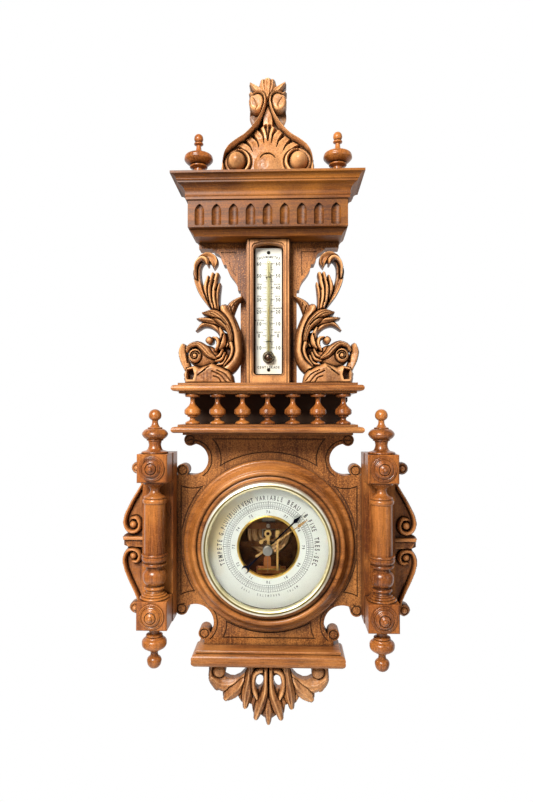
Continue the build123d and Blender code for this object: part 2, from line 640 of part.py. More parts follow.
capsule_base = capsule_half(capsule_mid, movement_plate_front + 1.2)
capsule_base += disc(5, movement_plate_front, movement_plate_front + 1.3, z=capsule_z)
capsule_diaphragm = capsule_half(capsule_mid, capsule_top)
post_radius, post_top = 2.2, 24.0
capsule_post = disc(5.0, capsule_top, capsule_top + 1.0, z=capsule_z)
capsule_post += disc(post_radius, capsule_top, post_top, z=capsule_z)

# Mainspring: a broad leaf bent like a U, clamped under the strap, round the bend and back over the post.
leaf_half, leaf_thick = 8.0, 0.9
leaf_back, leaf_bend_z = 19.6, 38.0
leaf_bend = (strap_back - leaf_back) / 2


def across_x(shape, half):
    """A face drawn as (depth, height), made solid from -half to half across the front."""
    return Rot(0, 0, -90) * Rot(90, 0, 0) * extrude(shape, half, both=True)


mainspring = across_x(
    face((strap_back, strap_low), (strap_back, leaf_bend_z), (leaf_back, leaf_bend_z, leaf_bend),
         (leaf_back, capsule_z - 5), (leaf_back + leaf_thick, capsule_z - 5),
         (leaf_back + leaf_thick, leaf_bend_z), (strap_back - leaf_thick, leaf_bend_z, leaf_thick - leaf_bend),
         (strap_back - leaf_thick, strap_low)), leaf_half)
mainspring -= disc(post_radius + 0.5, leaf_back - 1, leaf_back + 2, z=capsule_z)

# Cast bridge over the capsule: two feet, two legs and the strap.
strap_z = (strap_low + strap_high) / 2
cock_thick = 1.0
spring_bridge = block(-leg_x - 2, leg_x + 2, strap_low, strap_high, strap_back, strap_front)
leg = block(leg_x, leg_x + 2, strap_low, strap_high, movement_plate_front, strap_front)
foot_thick = 1.6
leg += block(leg_x, leg_x + 9, strap_low, strap_high, movement_plate_front, movement_plate_front + foot_thick)
spring_bridge = fuse([spring_bridge] + pair(leg))


def machine_screw(length):
    """Cheese-headed slotted screw; the head sits on depth 0 and the shank runs back."""
    screw = faced((0, -length), (0.9, -length), (0.9, 0), (2.4, 0), (2.4, 1.1), (2.0, 1.5, 0.2), (0, 1.5))
    return screw - block(-3, 3, -0.3, 0.3, 0.9, 2.5)


movement_screws = [put(machine_screw(3.8), 0, strap_front + cock_thick, strap_z)]
for side in (1, -1):
    movement_screws.append(put(machine_screw(3.0), side * (leg_x + 5.8), movement_plate_front + foot_thick,
                               strap_z))
spring_bridge = minus(spring_bridge, movement_screws)
mainspring = minus(mainspring, movement_screws)

# Main lever: rides on the mainspring's free end and reaches down past the dial's axis at one side.
lever_back = leaf_back + leaf_thick
lever_front = lever_back + 1.3
lever_x, lever_half, lever_tip = 10.5, 1.25, -31.0
link_pin_z, pin_radius, open_clearance = -28.5, 0.4, 0.5
lever_mid = (lever_back + lever_front) / 2


def rod_x(radius, x0, x1, depth, z):
    return Pos((x0 + x1) / 2, -depth, z) * Rot(0, 90, 0) * Cylinder(radius, x1 - x0)


main_lever = slab(face((-6.0, capsule_z + 4), (6.0, capsule_z + 4), (lever_x + lever_half, capsule_z + 2),
                       (lever_x + lever_half, lever_tip), (lever_x - lever_half, lever_tip),
                       (lever_x - lever_half, capsule_z - 5), (-6.0, capsule_z - 4.5)), lever_back, lever_front)
main_lever += disc(2.8, lever_back, lever_front + 0.4, x=lever_x, z=capsule_z + 1.5)
main_lever -= disc(post_radius + 0.7, lever_back - 1, lever_front + 1, z=capsule_z)
knife_radius, knife_gap = 0.6, 0.1
capsule_post += rod_x(knife_radius, -5, 5, lever_front + knife_radius + knife_gap, capsule_z)
link_x0, link_x1 = lever_x + 1.9, lever_x + 2.7
main_lever += rod_x(pin_radius, lever_x + 1, link_x1 + 0.4, lever_mid, link_pin_z)

# Rocker: a shaft across the movement, a crank for the link and an upright arm for the chain.
crank_reach, chain_depth = 4.0, 18.7
rocker_z, rocker_depth, rocker_radius = link_pin_z - crank_reach, 9.0, 1.0
rocker_x0, rocker_x1 = -14.0, 19.0
cheek = 1.2
crank_x = link_x1 + 0.5
chain_x, chain_radius = -1.2, 0.2
rocker_shaft = rod_x(rocker_radius, rocker_x0 - cheek, rocker_x1 + cheek, rocker_depth, rocker_z)
rocker_shaft += block(crank_x, crank_x + 0.9, rocker_z - 1.4, link_pin_z + 1.1, rocker_depth - 0.9,
                      rocker_depth + 0.9)
rocker_shaft += rod_x(pin_radius, link_x0 - 0.5, crank_x + 0.5, rocker_depth, link_pin_z)
rocker_shaft += block(chain_x - 0.45, chain_x + 0.45, rocker_z - 0.9, rocker_z + 0.9, rocker_depth,
                      chain_depth + 0.6)
link_rod = block(link_x0, link_x1, link_pin_z - 1.6, link_pin_z + 1.6, rocker_depth - 1.9, lever_front + 0.6)
link_rod -= rod_x(pin_radius, link_x0 - 1, link_x1 + 1, lever_mid, link_pin_z)
link_rod -= rod_x(pin_radius + open_clearance, link_x0 - 1, link_x1 + 1, rocker_depth, link_pin_z)

calibration_bracket = block(rocker_x0 - cheek, rocker_x1 + cheek, rocker_z - 6, rocker_z + 3,
                            movement_plate_front, movement_plate_front + cheek)
for x in (rocker_x0 - cheek, rocker_x1):
    calibration_bracket += block(x, x + cheek, rocker_z - 3, rocker_z + 3, movement_plate_front,
                                 rocker_depth + 3)
tongue = face((-6.4, rocker_z + 2), (2.4, rocker_z + 2), (2.4, -20.8), (-6.4, -20.8, 4.3))
calibration_bracket += slab(tongue, movement_plate_front, movement_plate_front + cheek)
calibration_bracket -= rod_x(rocker_radius + 0.05, rocker_x0 - 5, rocker_x1 + 5, rocker_depth, rocker_z)

# Pointer arbor between a bridge behind and a cock in front, with the chain's pulley and a hairspring.
arbor_radius, arbor_back, arbor_front, running = 0.7, 16.1, 38.0, 0.05
bridge_back, bridge_front = 16.3, 17.3
arbor_bridge = block(-37, 3.6, -3.2, 3.2, bridge_back, bridge_front)
arbor_bridge += block(-37, -35.6, -3.2, 3.2, movement_plate_front, bridge_front)
arbor_bridge += block(-44, -35.6, -3.2, 3.2, movement_plate_front, movement_plate_front + 1.4)
arbor_bridge -= disc(arbor_radius + running, bridge_back - 1, bridge_front + 1)
cock_back, cock_front = strap_front, strap_front + cock_thick
stud_x, stud_z = -8.6, 4.6
cock_stem = face((-2.6, 28), (2.6, 28), (2.6, 20), (1.5, 14), (1.3, 0), (-1.3, 0), (-2.6, 12), (-2.6, 20))
cock_arm = face((-1, 8.2), (-1, 10.4), (-9.6, 6.4), (-8.2, 4.2))
arbor_cock = slab(cock_stem, cock_back, cock_front) + slab(cock_arm, cock_back, cock_front)
eyelet_z, eyelet_radius, eyelet_hole = 14.5, 4.3, 2.0
arbor_cock += disc(eyelet_radius, cock_back, cock_front + 0.3, x=-0.6, z=eyelet_z)
arbor_cock += disc(2.7, cock_back, cock_front + 0.3)
arbor_cock += disc(2.5, cock_back, cock_front + 0.2, x=stud_x, z=stud_z)
spring_depth = 25.0
arbor_cock += disc(0.5, spring_depth - 0.5, cock_back + 0.5, x=stud_x, z=stud_z)
arbor_cock = minus(arbor_cock, [movement_screws[0],
                                disc(arbor_radius + running, cock_back - 1, cock_front + 1),
                                disc(eyelet_hole, cock_back - 1, cock_front + 1, x=-0.6, z=eyelet_z)])

pointer_arbor = faced((0, arbor_back), (arbor_radius, arbor_back), (arbor_radius, arbor_front), (0, arbor_front))
pointer_arbor += disc(1.0, chain_depth - 0.6, chain_depth + 0.6)
pointer_arbor += disc(1.4, chain_depth + 0.6, chain_depth + 0.9)
pointer_arbor += disc(1.4, chain_depth - 0.9, chain_depth - 0.6)
chain = Pos(chain_x, -chain_depth, (rocker_z + 0.9) / 2) * Cylinder(chain_radius, -(rocker_z + 0.9))

hairspring_turns, hairspring_start, hairspring_half = 5, arbor_radius + 0.45, 0.13
hairspring_end = math.hypot(stud_x, stud_z) - 0.6
stud_turn = math.atan2(stud_z, stud_x)


def spiral_point(share, offset):
    turn = stud_turn - 2 * math.pi * hairspring_turns * (1 - share)
    radius = hairspring_start + (hairspring_end - hairspring_start) * share + offset
    return (radius * math.cos(turn), radius * math.sin(turn))


def hairspring_shape():
    """A flat spiral strip, from the arbor's collet to the stud."""
    steps = 60
    outer = [spiral_point(k / steps, hairspring_half) for k in range(steps + 1)]
    inner = [spiral_point(k / steps, -hairspring_half) for k in range(steps, -1, -1)]
    return slab(face(outer[0], outer[1:], inner[0], inner[1:]), spring_depth - 0.4, spring_depth + 0.4)


hairspring = hairspring_shape()
collet = disc(hairspring_start - hairspring_half - 0.01, spring_depth - 0.5, spring_depth + 0.5)
pointer_arbor += collet

# ---------- hands, knob and adjusting screw ----------

hand_angle, set_angle = 45.8, 54.3         # clockwise from the top, at rest
hand_back, hand_thick = 37.0, 0.6


def clockwise(solid, angle):
    """Turned about the dial's axis, clockwise as seen from the front."""
    return Rot(0, angle, 0) * solid


def pressure_hand_shape():
    """Long pointer with a barbed tip, and a crescent on its tail."""
    blade = face((-1.0, -33), (1.0, -33), (1.0, 0), (0.75, 42.0), (2.7, 44.7), [(1.2, 49), (0.12, 59.6)],
                 (-0.12, 59.6), [(-1.2, 49), (-2.7, 44.7)], (-0.75, 42.0), (-1.0, 0))
    moon = (Pos(0, -37.0) * Circle(4.5)) - (Pos(0, -38.7) * Circle(3.3))
    return slab(blade + moon + Circle(3.0) - Circle(arbor_radius), hand_back, hand_back + hand_thick)


pressure_hand = clockwise(pressure_hand_shape(), hand_angle)
set_back, set_thick = 39.7, 0.7
spindle_radius = spindle_hole - 0.06
blade = face((-0.7, 0), (0.7, 0), (0.45, 43.0), (1.9, 43.8), (0.1, 56.8), (-0.1, 56.8), (-1.9, 43.8),
             (-0.45, 43.0))
tail = face((-0.8, 0), (-1.5, -17), (0, -18.4), (1.5, -17), (0.8, 0))
set_hand = clockwise(slab(blade + tail + Circle(3.2) - Circle(spindle_radius), set_back, set_back + set_thick),
                     set_angle)
knob_back, knob_front, knob_radius = 47.0, 56.0, 5.8
set_knob = faced((0, set_back - 0.5), (spindle_radius, set_back - 0.5), (spindle_radius, set_back + set_thick),
                 (2.8, set_back + set_thick), (2.8, glass_back - 0.3), (spindle_radius, glass_back - 0.3),
                 (spindle_radius, glass_front + 0.3), (3.0, glass_front + 0.3), (3.0, knob_back),
                 (knob_radius, knob_back + 0.5), (knob_radius, knob_front - 1.2),
                 (knob_radius - 1.2, knob_front, 0.4), (0, knob_front))
knurls = 48
knurl_cut = disc(0.28, knob_back + 0.9, knob_front - 1.6, x=knob_radius + 0.05)
set_knob = minus(set_knob, [clockwise(knurl_cut, k * 360 / knurls) for k in range(knurls)])

adjust_radius, adjust_depth = 1.5, 5.6
adjusting_screw = faced((0, 0.5), (3.2, 0.5), (3.2, drum_back - 0.1), (adjust_radius, drum_back - 0.1),
                        (adjust_radius, adjust_depth), (0, adjust_depth), z=capsule_z)
adjusting_screw -= block(-4, 4, capsule_z - 0.4, capsule_z + 0.4, 0, 1.2)
adjust_hole = disc(adjust_radius + running, 0, adjust_depth + 0.3, z=capsule_z)
drum_case -= adjust_hole
movement_plate -= adjust_hole
capsule_base -= adjust_hole

plate_screw_places = [(60 * math.sin(math.radians(a)), 60 * math.cos(math.radians(a))) for a in (45, 165, 285)]
rear_screw = Rot(0, 0, 180) * faced((0, -2.6), (1.2, -2.6), (1.2, 0), (2.6, 0), (2.6, 0.9), (2.2, 1.2, 0.2),
                                    (0, 1.2))
movement_plate_screws = [put(rear_screw, x, drum_back, z) for x, z in plate_screw_places]
drum_case = minus(drum_case, movement_plate_screws)
movement_plate = minus(movement_plate, movement_plate_screws)
movement_plate = minus(movement_plate, movement_screws)
pillar_places = [(66.5 * math.sin(math.radians(a)), 66.5 * math.cos(math.radians(a))) for a in (0, 120, 240)]
dial_pillars = [disc(1.6, movement_plate_front, dial_back, x=x, z=z) for x, z in pillar_places]

# ---------- write the nodes ----------

nodes = {
    "back_board": lower_board, "dial_ring": dial_ring, "upper_board": upper_board,
    "thermometer_frame": thermometer_frame, "cornice": cornice, "frieze": frieze,
    "bed_moulding": bed_moulding, "crest": crest(), "cornice_finials": cornice_finials,
    "dolphin_left": dolphin_left, "dolphin_right": dolphin_right, "upper_shelf": upper_shelf,
    "lower_shelf": lower_shelf, "gallery_back": gallery_back, "balusters": balusters,
    "pilasters": pilasters, "upper_blocks": upper_blocks, "lower_blocks": lower_blocks,
    "block_bosses": block_bosses, "columns": columns, "pillar_finials": pillar_finials,
    "pillar_drops": pillar_drops, "side_scroll_left": side_scroll_left,
    "side_scroll_right": side_scroll_right, "base_moulding": base_moulding, "pendant": pendant(),
    "hanger_plate": hanger_plate, "hanger_screws": hanger_screws, "drum_case": drum_case,
    "drum_screws": drum_screws, "dial": dial, "dial_rim": dial_rim, "bezel": bezel, "glass": glass,
    "movement_plate": movement_plate, "movement_plate_screws": movement_plate_screws,
    "dial_pillars": dial_pillars, "capsule_base": capsule_base, "capsule_diaphragm": capsule_diaphragm,
    "capsule_post": capsule_post, "spring_bridge": spring_bridge, "mainspring": mainspring,
    "movement_screws": movement_screws, "main_lever": main_lever, "link_rod": link_rod,
    "rocker_shaft": rocker_shaft, "calibration_bracket": calibration_bracket, "chain": chain,
    "arbor_bridge": arbor_bridge, "arbor_cock": arbor_cock, "pointer_arbor": pointer_arbor,
    "hairspring": hairspring, "pressure_hand": pressure_hand, "set_hand": set_hand, "set_knob": set_knob,
    "adjusting_screw": adjusting_screw, "thermometer_plate": thermometer_plate,
    "thermometer_tube": thermometer_tube, "thermometer_liquid": liquid_shape,
    "thermometer_fixings": staples + scale_screws,
}
for node, shape in nodes.items():
    save(node, shape)
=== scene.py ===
import math

import bmesh
import bpy
import numpy as np
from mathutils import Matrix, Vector


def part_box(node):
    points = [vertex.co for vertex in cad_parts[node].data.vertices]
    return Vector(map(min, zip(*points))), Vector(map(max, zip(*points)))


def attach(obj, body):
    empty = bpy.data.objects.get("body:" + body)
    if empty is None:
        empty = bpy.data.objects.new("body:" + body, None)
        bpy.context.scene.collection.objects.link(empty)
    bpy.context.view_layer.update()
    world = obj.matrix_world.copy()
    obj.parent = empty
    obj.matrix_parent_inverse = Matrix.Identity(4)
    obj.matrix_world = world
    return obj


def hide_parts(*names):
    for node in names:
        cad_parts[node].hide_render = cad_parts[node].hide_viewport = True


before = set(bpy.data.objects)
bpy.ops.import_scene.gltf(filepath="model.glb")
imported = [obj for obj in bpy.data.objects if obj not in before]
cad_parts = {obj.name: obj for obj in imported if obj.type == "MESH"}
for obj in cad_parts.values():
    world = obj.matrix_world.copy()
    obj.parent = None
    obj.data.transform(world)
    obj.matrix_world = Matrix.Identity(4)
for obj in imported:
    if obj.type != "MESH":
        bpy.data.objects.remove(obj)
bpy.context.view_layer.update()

# A carved walnut wall barometer. The frame's origin is the wall hook's hole; drawing sizes below are
# millimetres from the dial's axis: x to the right, z up, and depth in front of the wall.
MM = 0.001


def middle(node):
    low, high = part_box(node)
    return [(a + b) / 2 for a, b in zip(low, high)]


DIAL_Z = middle("dial")[2]
DIAL_FRONT = -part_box("dial")[0][1] / MM
PLATE_FRONT = -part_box("thermometer_plate")[0][1] / MM


def at(x, z, depth):
    return (x * MM, -depth * MM, DIAL_Z + z * MM)


def placed(name, data):
    """A new object of the scene for a mesh, a letter, a lamp or the camera."""
    thing = bpy.data.objects.new(name, data)
    bpy.context.collection.objects.link(thing)
    return thing


# ---------- materials ----------

CORNER_SAMPLES = 6
SCRATCH_ROUGHNESS, GLASS_ROUGHNESS = 0.12, 0.02


class Nodes:
    """A short way to write node trees: every call makes one node and returns its output socket."""

    def __init__(self, name):
        self.material = bpy.data.materials.new(name)
        self.material.use_nodes = True
        self.tree = self.material.node_tree
        self.shader = self.tree.nodes["Principled BSDF"]

    def add(self, kind, settings, inputs, out=0):
        node = self.tree.nodes.new(kind)
        for key, value in settings.items():
            setattr(node, key, value)
        for key, value in inputs.items():
            self.put(node.inputs[key], value)
        return node.outputs[out]

    def put(self, socket, value):
        if isinstance(value, bpy.types.NodeSocket):
            self.tree.links.new(value, socket)
        else:
            socket.default_value = value

    def set(self, name, value):
        self.put(self.shader.inputs[name], value)

    def point(self, scale=(1, 1, 1), offset=(0, 0, 0)):
        where = self.add("ShaderNodeTexCoord", {}, {}, "Object")
        return self.add("ShaderNodeMapping", {}, {"Vector": where, "Scale": scale, "Location": offset})

    def noise(self, vector, scale, detail=4.0, rough=0.55, distortion=0.0):
        return self.add("ShaderNodeTexNoise", {}, {"Vector": vector, "Scale": scale, "Detail": detail,
                                                   "Roughness": rough, "Distortion": distortion}, "Fac")

    def math(self, kind, a, b=0.5):
        return self.add("ShaderNodeMath", {"operation": kind}, {0: a, 1: b})

    def ramp(self, factor, low, high, a=0.0, b=1.0):
        return self.add("ShaderNodeMapRange", {"interpolation_type": "SMOOTHSTEP"},
                        {"Value": factor, "From Min": low, "From Max": high, "To Min": a, "To Max": b})

    def mix(self, factor, a, b):
        node = self.tree.nodes.new("ShaderNodeMix")
        node.data_type = "RGBA"
        self.put(node.inputs[0], factor)
        self.put(node.inputs[6], a)
        self.put(node.inputs[7], b)
        return node.outputs[2]

    def occlusion(self, distance):
        return self.add("ShaderNodeAmbientOcclusion", {"samples": CORNER_SAMPLES}, {"Distance": distance}, "AO")

    def bump(self, height, strength, distance, below=None):
        inputs = {"Height": height, "Strength": strength, "Distance": distance}
        if below is not None:
            inputs["Normal"] = below
        return self.add("ShaderNodeBump", {}, inputs, "Normal")


def rgb(red, green, blue):
    """A linear colour from display values of 0 to 255."""
    return tuple(((v / 255 + 0.055) / 1.055) ** 2.4 if v > 10 else v / 255 / 12.92
                 for v in (red, green, blue)) + (1.0,)


GRAIN_ALONG = {"x": (0.06, 1, 1), "y": (1, 0.06, 1), "z": (1, 1, 0.06)}


def walnut(name, light, mid, dark, along, gloss=0.42, pores=1.0, carved=False, seed=0.0, coat=0.25,
           speckle=0.3):
    """Waxed walnut: growth figure and fine fibre along the piece, open pores, painted shade in corners,
    and on carvings painted highlights on ridges and painted shade in hollows.
    """
    n = Nodes(name)
    stretch = GRAIN_ALONG[along]
    place = n.point(stretch, (seed, seed * 0.7, seed * 1.3))
    figure = n.noise(place, 55.0, 5.0, 0.6, 0.8)
    fibre = n.noise(place, 620.0, 3.0, 0.65)
    cloud = n.noise(n.point((1, 1, 1), (seed, 0, 0)), 14.0, 3.0, 0.5)
    tone = n.math("ADD", n.math("MULTIPLY", figure, 0.62), n.math("MULTIPLY", fibre, 0.38))
    colour = n.mix(n.ramp(tone, 0.36, 0.62), dark, mid)
    colour = n.mix(n.math("MULTIPLY", n.ramp(cloud, 0.42, 0.70), 0.55), colour, light)
    pore_place = n.point(tuple(s * (1.0 if s == 1 else 0.8) for s in stretch), (seed * 2, 0, seed))
    pore_field = n.noise(pore_place, 950.0, 2.0, 0.5)
    pore = n.ramp(pore_field, 0.60, 0.70)
    colour = n.mix(n.math("MULTIPLY", pore, 0.55 * pores), colour, rgb(38, 20, 10))
    speck = n.noise(n.point((1, 1, 1), (seed, seed, 0)), 640.0, 2.0, 0.5)
    colour = n.mix(n.math("MULTIPLY", n.ramp(speck, 0.50, 0.68), speckle), colour, dark)
    colour = n.mix(n.math("MULTIPLY", n.ramp(speck, 0.46, 0.32), speckle * 0.7), colour, light)
    if carved:
        # painted light from the relief: raised ridges get a painted highlight and sunk hollows painted shade,
        # read from the hollow attribute
        hollow = n.add("ShaderNodeAttribute", {"attribute_name": "hollow"}, {}, "Fac")
        ridge = n.ramp(hollow, 0.53, 0.80)
        colour = n.mix(n.math("MULTIPLY", ridge, 0.70), colour, light)
        colour = n.mix(n.ramp(hollow, 0.46, 0.18, 0.0, 0.70), colour, rgb(54, 28, 13))
        near = n.ramp(n.occlusion(0.004), 0.80, 0.25, 0.0, 0.55)
    else:
        near = n.ramp(n.occlusion(0.006), 0.86, 0.34, 0.0, 0.86)
    # painted shade: colour darkened towards near-black in corners and crevices found by the ambient occlusion
    colour = n.mix(near, colour, rgb(26, 12, 6))
    n.set("Base Color", colour)
    rough = n.math("ADD", n.math("MULTIPLY", fibre, 0.16), gloss - 0.08)
    rough = n.math("ADD", rough, n.math("MULTIPLY", near, 0.25))
    n.set("Roughness", rough)
    n.set("Specular IOR Level", 0.24)
    n.set("Coat Weight", coat * 0.5)
    n.set("Coat Roughness", 0.28)
    grain = n.bump(fibre, 0.16, 0.0004)
    n.set("Normal", n.bump(pore, -0.35 * pores, 0.0003, grain))
    return n.material


def stippled(name, light, mid, dark, along, seed=0.0):
    """The boards: walnut whose ground is matted with fine punch marks."""
    material = walnut(name, light, mid, dark, along, 0.46, 1.5, False, seed, 0.15, 0.8)
    tree = material.node_tree
    shader = tree.nodes["Principled BSDF"]
    where = tree.nodes.new("ShaderNodeTexCoord")
    cells = tree.nodes.new("ShaderNodeTexVoronoi")
    cells.inputs["Scale"].default_value = 640.0
    tree.links.new(where.outputs["Object"], cells.inputs["Vector"])
    bump = tree.nodes.new("ShaderNodeBump")
    bump.inputs["Strength"].default_value = 0.30
    bump.inputs["Distance"].default_value = 0.0004
    tree.links.new(cells.outputs["Distance"], bump.inputs["Height"])
    below = shader.inputs["Normal"].links[0].from_socket
    tree.links.new(below, bump.inputs["Normal"])
    tree.links.new(bump.outputs["Normal"], shader.inputs["Normal"])
    return material


def metal(name, base, tarnish, rough, wear=0.5, dark_beyond=None, shine=1.0):
    """Old metal: cloudy tarnish, fine scratches, painted shade in corners,
    and dark brown beyond a place on one axis.
    """
    n = Nodes(name)
    cloud = n.noise(n.point(), 90.0, 5.0, 0.6, 0.4)
    fine = n.noise(n.point(), 900.0, 3.0, 0.6)
    near = n.ramp(n.occlusion(0.003), 0.85, 0.35, 0.0, 0.8)
    colour = n.mix(n.math("MULTIPLY", n.ramp(cloud, 0.45, 0.72), wear), base, tarnish)
    if dark_beyond:
        axis, start, end = dark_beyond
        where = n.add("ShaderNodeSeparateXYZ", {}, {"Vector": n.point()}, axis)
        # beyond the given place on the axis the colour turns dark brown
        colour = n.mix(n.ramp(where, start, end), colour, rgb(74, 42, 22))
    # painted shade: corners found by the ambient occlusion darken towards a quarter of the tarnish colour
    colour = n.mix(near, colour, tuple(c * 0.25 for c in tarnish[:3]) + (1.0,))
    n.set("Base Color", colour)
    n.set("Metallic", shine)
    spread = n.math("ADD", n.math("MULTIPLY", cloud, 0.22), rough - 0.08)
    n.set("Roughness", n.math("ADD", spread, n.math("MULTIPLY", fine, SCRATCH_ROUGHNESS)))
    n.set("Normal", n.bump(fine, 0.10, 0.0002))
    return n.material


def bezel_metal():
    """Nickelled rim, a groove inside it painted dark as shade and a yellowed sight ring next to the glass."""
    n = Nodes("bezel_metal")
    where = n.add("ShaderNodeTexCoord", {}, {}, "Object")
    flat = n.add("ShaderNodeVectorMath", {"operation": "MULTIPLY"}, {0: where, 1: (1, 0, 1)}, "Vector")
    radius = n.add("ShaderNodeVectorMath", {"operation": "DISTANCE"}, {0: flat, 1: (0, 0, DIAL_Z)}, "Value")
    cloud = n.noise(n.point(), 45.0, 4.0, 0.5)
    fine = n.noise(n.point(), 900.0, 3.0, 0.6)
    sight = n.mix(n.ramp(cloud, 0.42, 0.70), rgb(238, 230, 190), rgb(206, 194, 146))
    rim = n.mix(n.ramp(cloud, 0.42, 0.70, 0.0, 0.6), rgb(228, 224, 208), rgb(186, 178, 150))
    # painted shade: the band between the sight ring and the rim is the groove's shadow line
    colour = n.mix(n.ramp(radius, 72.2 * MM, 72.6 * MM), sight, rgb(112, 98, 56))
    colour = n.mix(n.ramp(radius, 74.3 * MM, 74.7 * MM), colour, rim)
    colour = n.mix(n.ramp(fine, 0.62, 0.72, 0.0, 0.3), colour, rgb(60, 52, 34))
    n.set("Base Color", colour)
    n.set("Metallic", 0.75)
    n.set("Roughness", n.math("ADD", n.math("MULTIPLY", cloud, 0.16), 0.34))
    n.set("Normal", n.bump(fine, 0.06, 0.0002))
    return n.material


def enamel(name, base, stain, stain_at, stain_size, warm=0.35, rim=None):
    """Silvered and lacquered card-white scale: faint mottling and a yellowed patch."""
    n = Nodes(name)
    mottle = n.noise(n.point(), 60.0, 6.0, 0.62)
    specks = n.noise(n.point(), 1400.0, 2.0, 0.5)
    where = n.add("ShaderNodeTexCoord", {}, {}, "Object")
    gap = n.add("ShaderNodeVectorMath", {"operation": "DISTANCE"}, {0: where, 1: stain_at}, "Value")
    wobble = n.math("MULTIPLY", n.noise(n.point(), 30.0, 3.0), stain_size * 0.9)
    patch = n.ramp(n.math("ADD", gap, wobble), stain_size * 1.5, stain_size * 0.55, 0.0, warm)
    if rim:
        flat = n.add("ShaderNodeVectorMath", {"operation": "MULTIPLY"}, {0: where, 1: (1, 0, 1)}, "Vector")
        radius = n.add("ShaderNodeVectorMath", {"operation": "DISTANCE"}, {0: flat, 1: (0, 0, DIAL_Z)},
                       "Value")
        patch = n.math("MULTIPLY", patch, n.ramp(n.math("ADD", radius, n.math("MULTIPLY", wobble, 0.2)),
                                                 *rim))
    colour = n.mix(n.math("MULTIPLY", n.ramp(mottle, 0.45, 0.75), 0.22), base, rgb(222, 226, 212))
    colour = n.mix(patch, colour, stain)
    colour = n.mix(n.math("MULTIPLY", n.ramp(specks, 0.66, 0.74), 0.18), colour, rgb(120, 110, 90))
    # painted shade: brownish darkening at edges and corners found by the ambient occlusion
    near = n.ramp(n.occlusion(0.005), 0.7, 0.2, 0.0, 0.5)
    colour = n.mix(near, colour, rgb(96, 84, 60))
    n.set("Base Color", colour)
    n.set("Roughness", n.math("ADD", n.math("MULTIPLY", mottle, 0.2), 0.30))
    n.set("Normal", n.bump(specks, 0.05, 0.0001))
    return n.material


def clear_glass(name, tint=(1, 1, 1, 1)):
    """Old window glass that lets the lamps through: a faint ripple, dust in the gloss."""
    n = Nodes(name)
    n.set("Base Color", tint)
    n.set("Transmission Weight", 1.0)
    n.set("IOR", 1.12)
    ripple = n.noise(n.point(), 70.0, 2.0)
    n.set("Roughness", n.math("ADD", n.math("MULTIPLY", ripple, 0.03), GLASS_ROUGHNESS))
    n.set("Normal", n.bump(ripple, 0.03, 0.0003))
    return n.material


def ink(name, base):
    """Printing ink, a little worn and uneven."""
    n = Nodes(name)
    patch = n.noise(n.point(), 500.0, 4.0, 0.6)
    n.set("Base Color", n.mix(n.ramp(patch, 0.5, 0.8, 0.0, 0.45), base, rgb(120, 116, 104)))
    n.set("Roughness", n.math("ADD", n.math("MULTIPLY", patch, 0.3), 0.4))
    return n.material


BOARD = (rgb(186, 124, 64), rgb(146, 90, 42), rgb(80, 42, 17))
FRAME = (rgb(222, 158, 96), rgb(176, 116, 64), rgb(98, 56, 26))
# cornice and frieze face downwards: their palette is darker as painted shade
SHADED_CORNICE = (rgb(158, 97, 26), rgb(116, 63, 11), rgb(64, 30, 4))
SHELF = (rgb(196, 134, 74), rgb(154, 94, 44), rgb(88, 46, 17))
TURNED = (rgb(198, 126, 60), rgb(146, 83, 36), rgb(76, 36, 14))
ROLLED = (rgb(190, 126, 72), rgb(142, 86, 42), rgb(80, 41, 18))
RING = (rgb(196, 130, 68), rgb(152, 93, 43), rgb(90, 48, 19))
CARVED = (rgb(218, 162, 108), rgb(156, 102, 58), rgb(84, 46, 22))

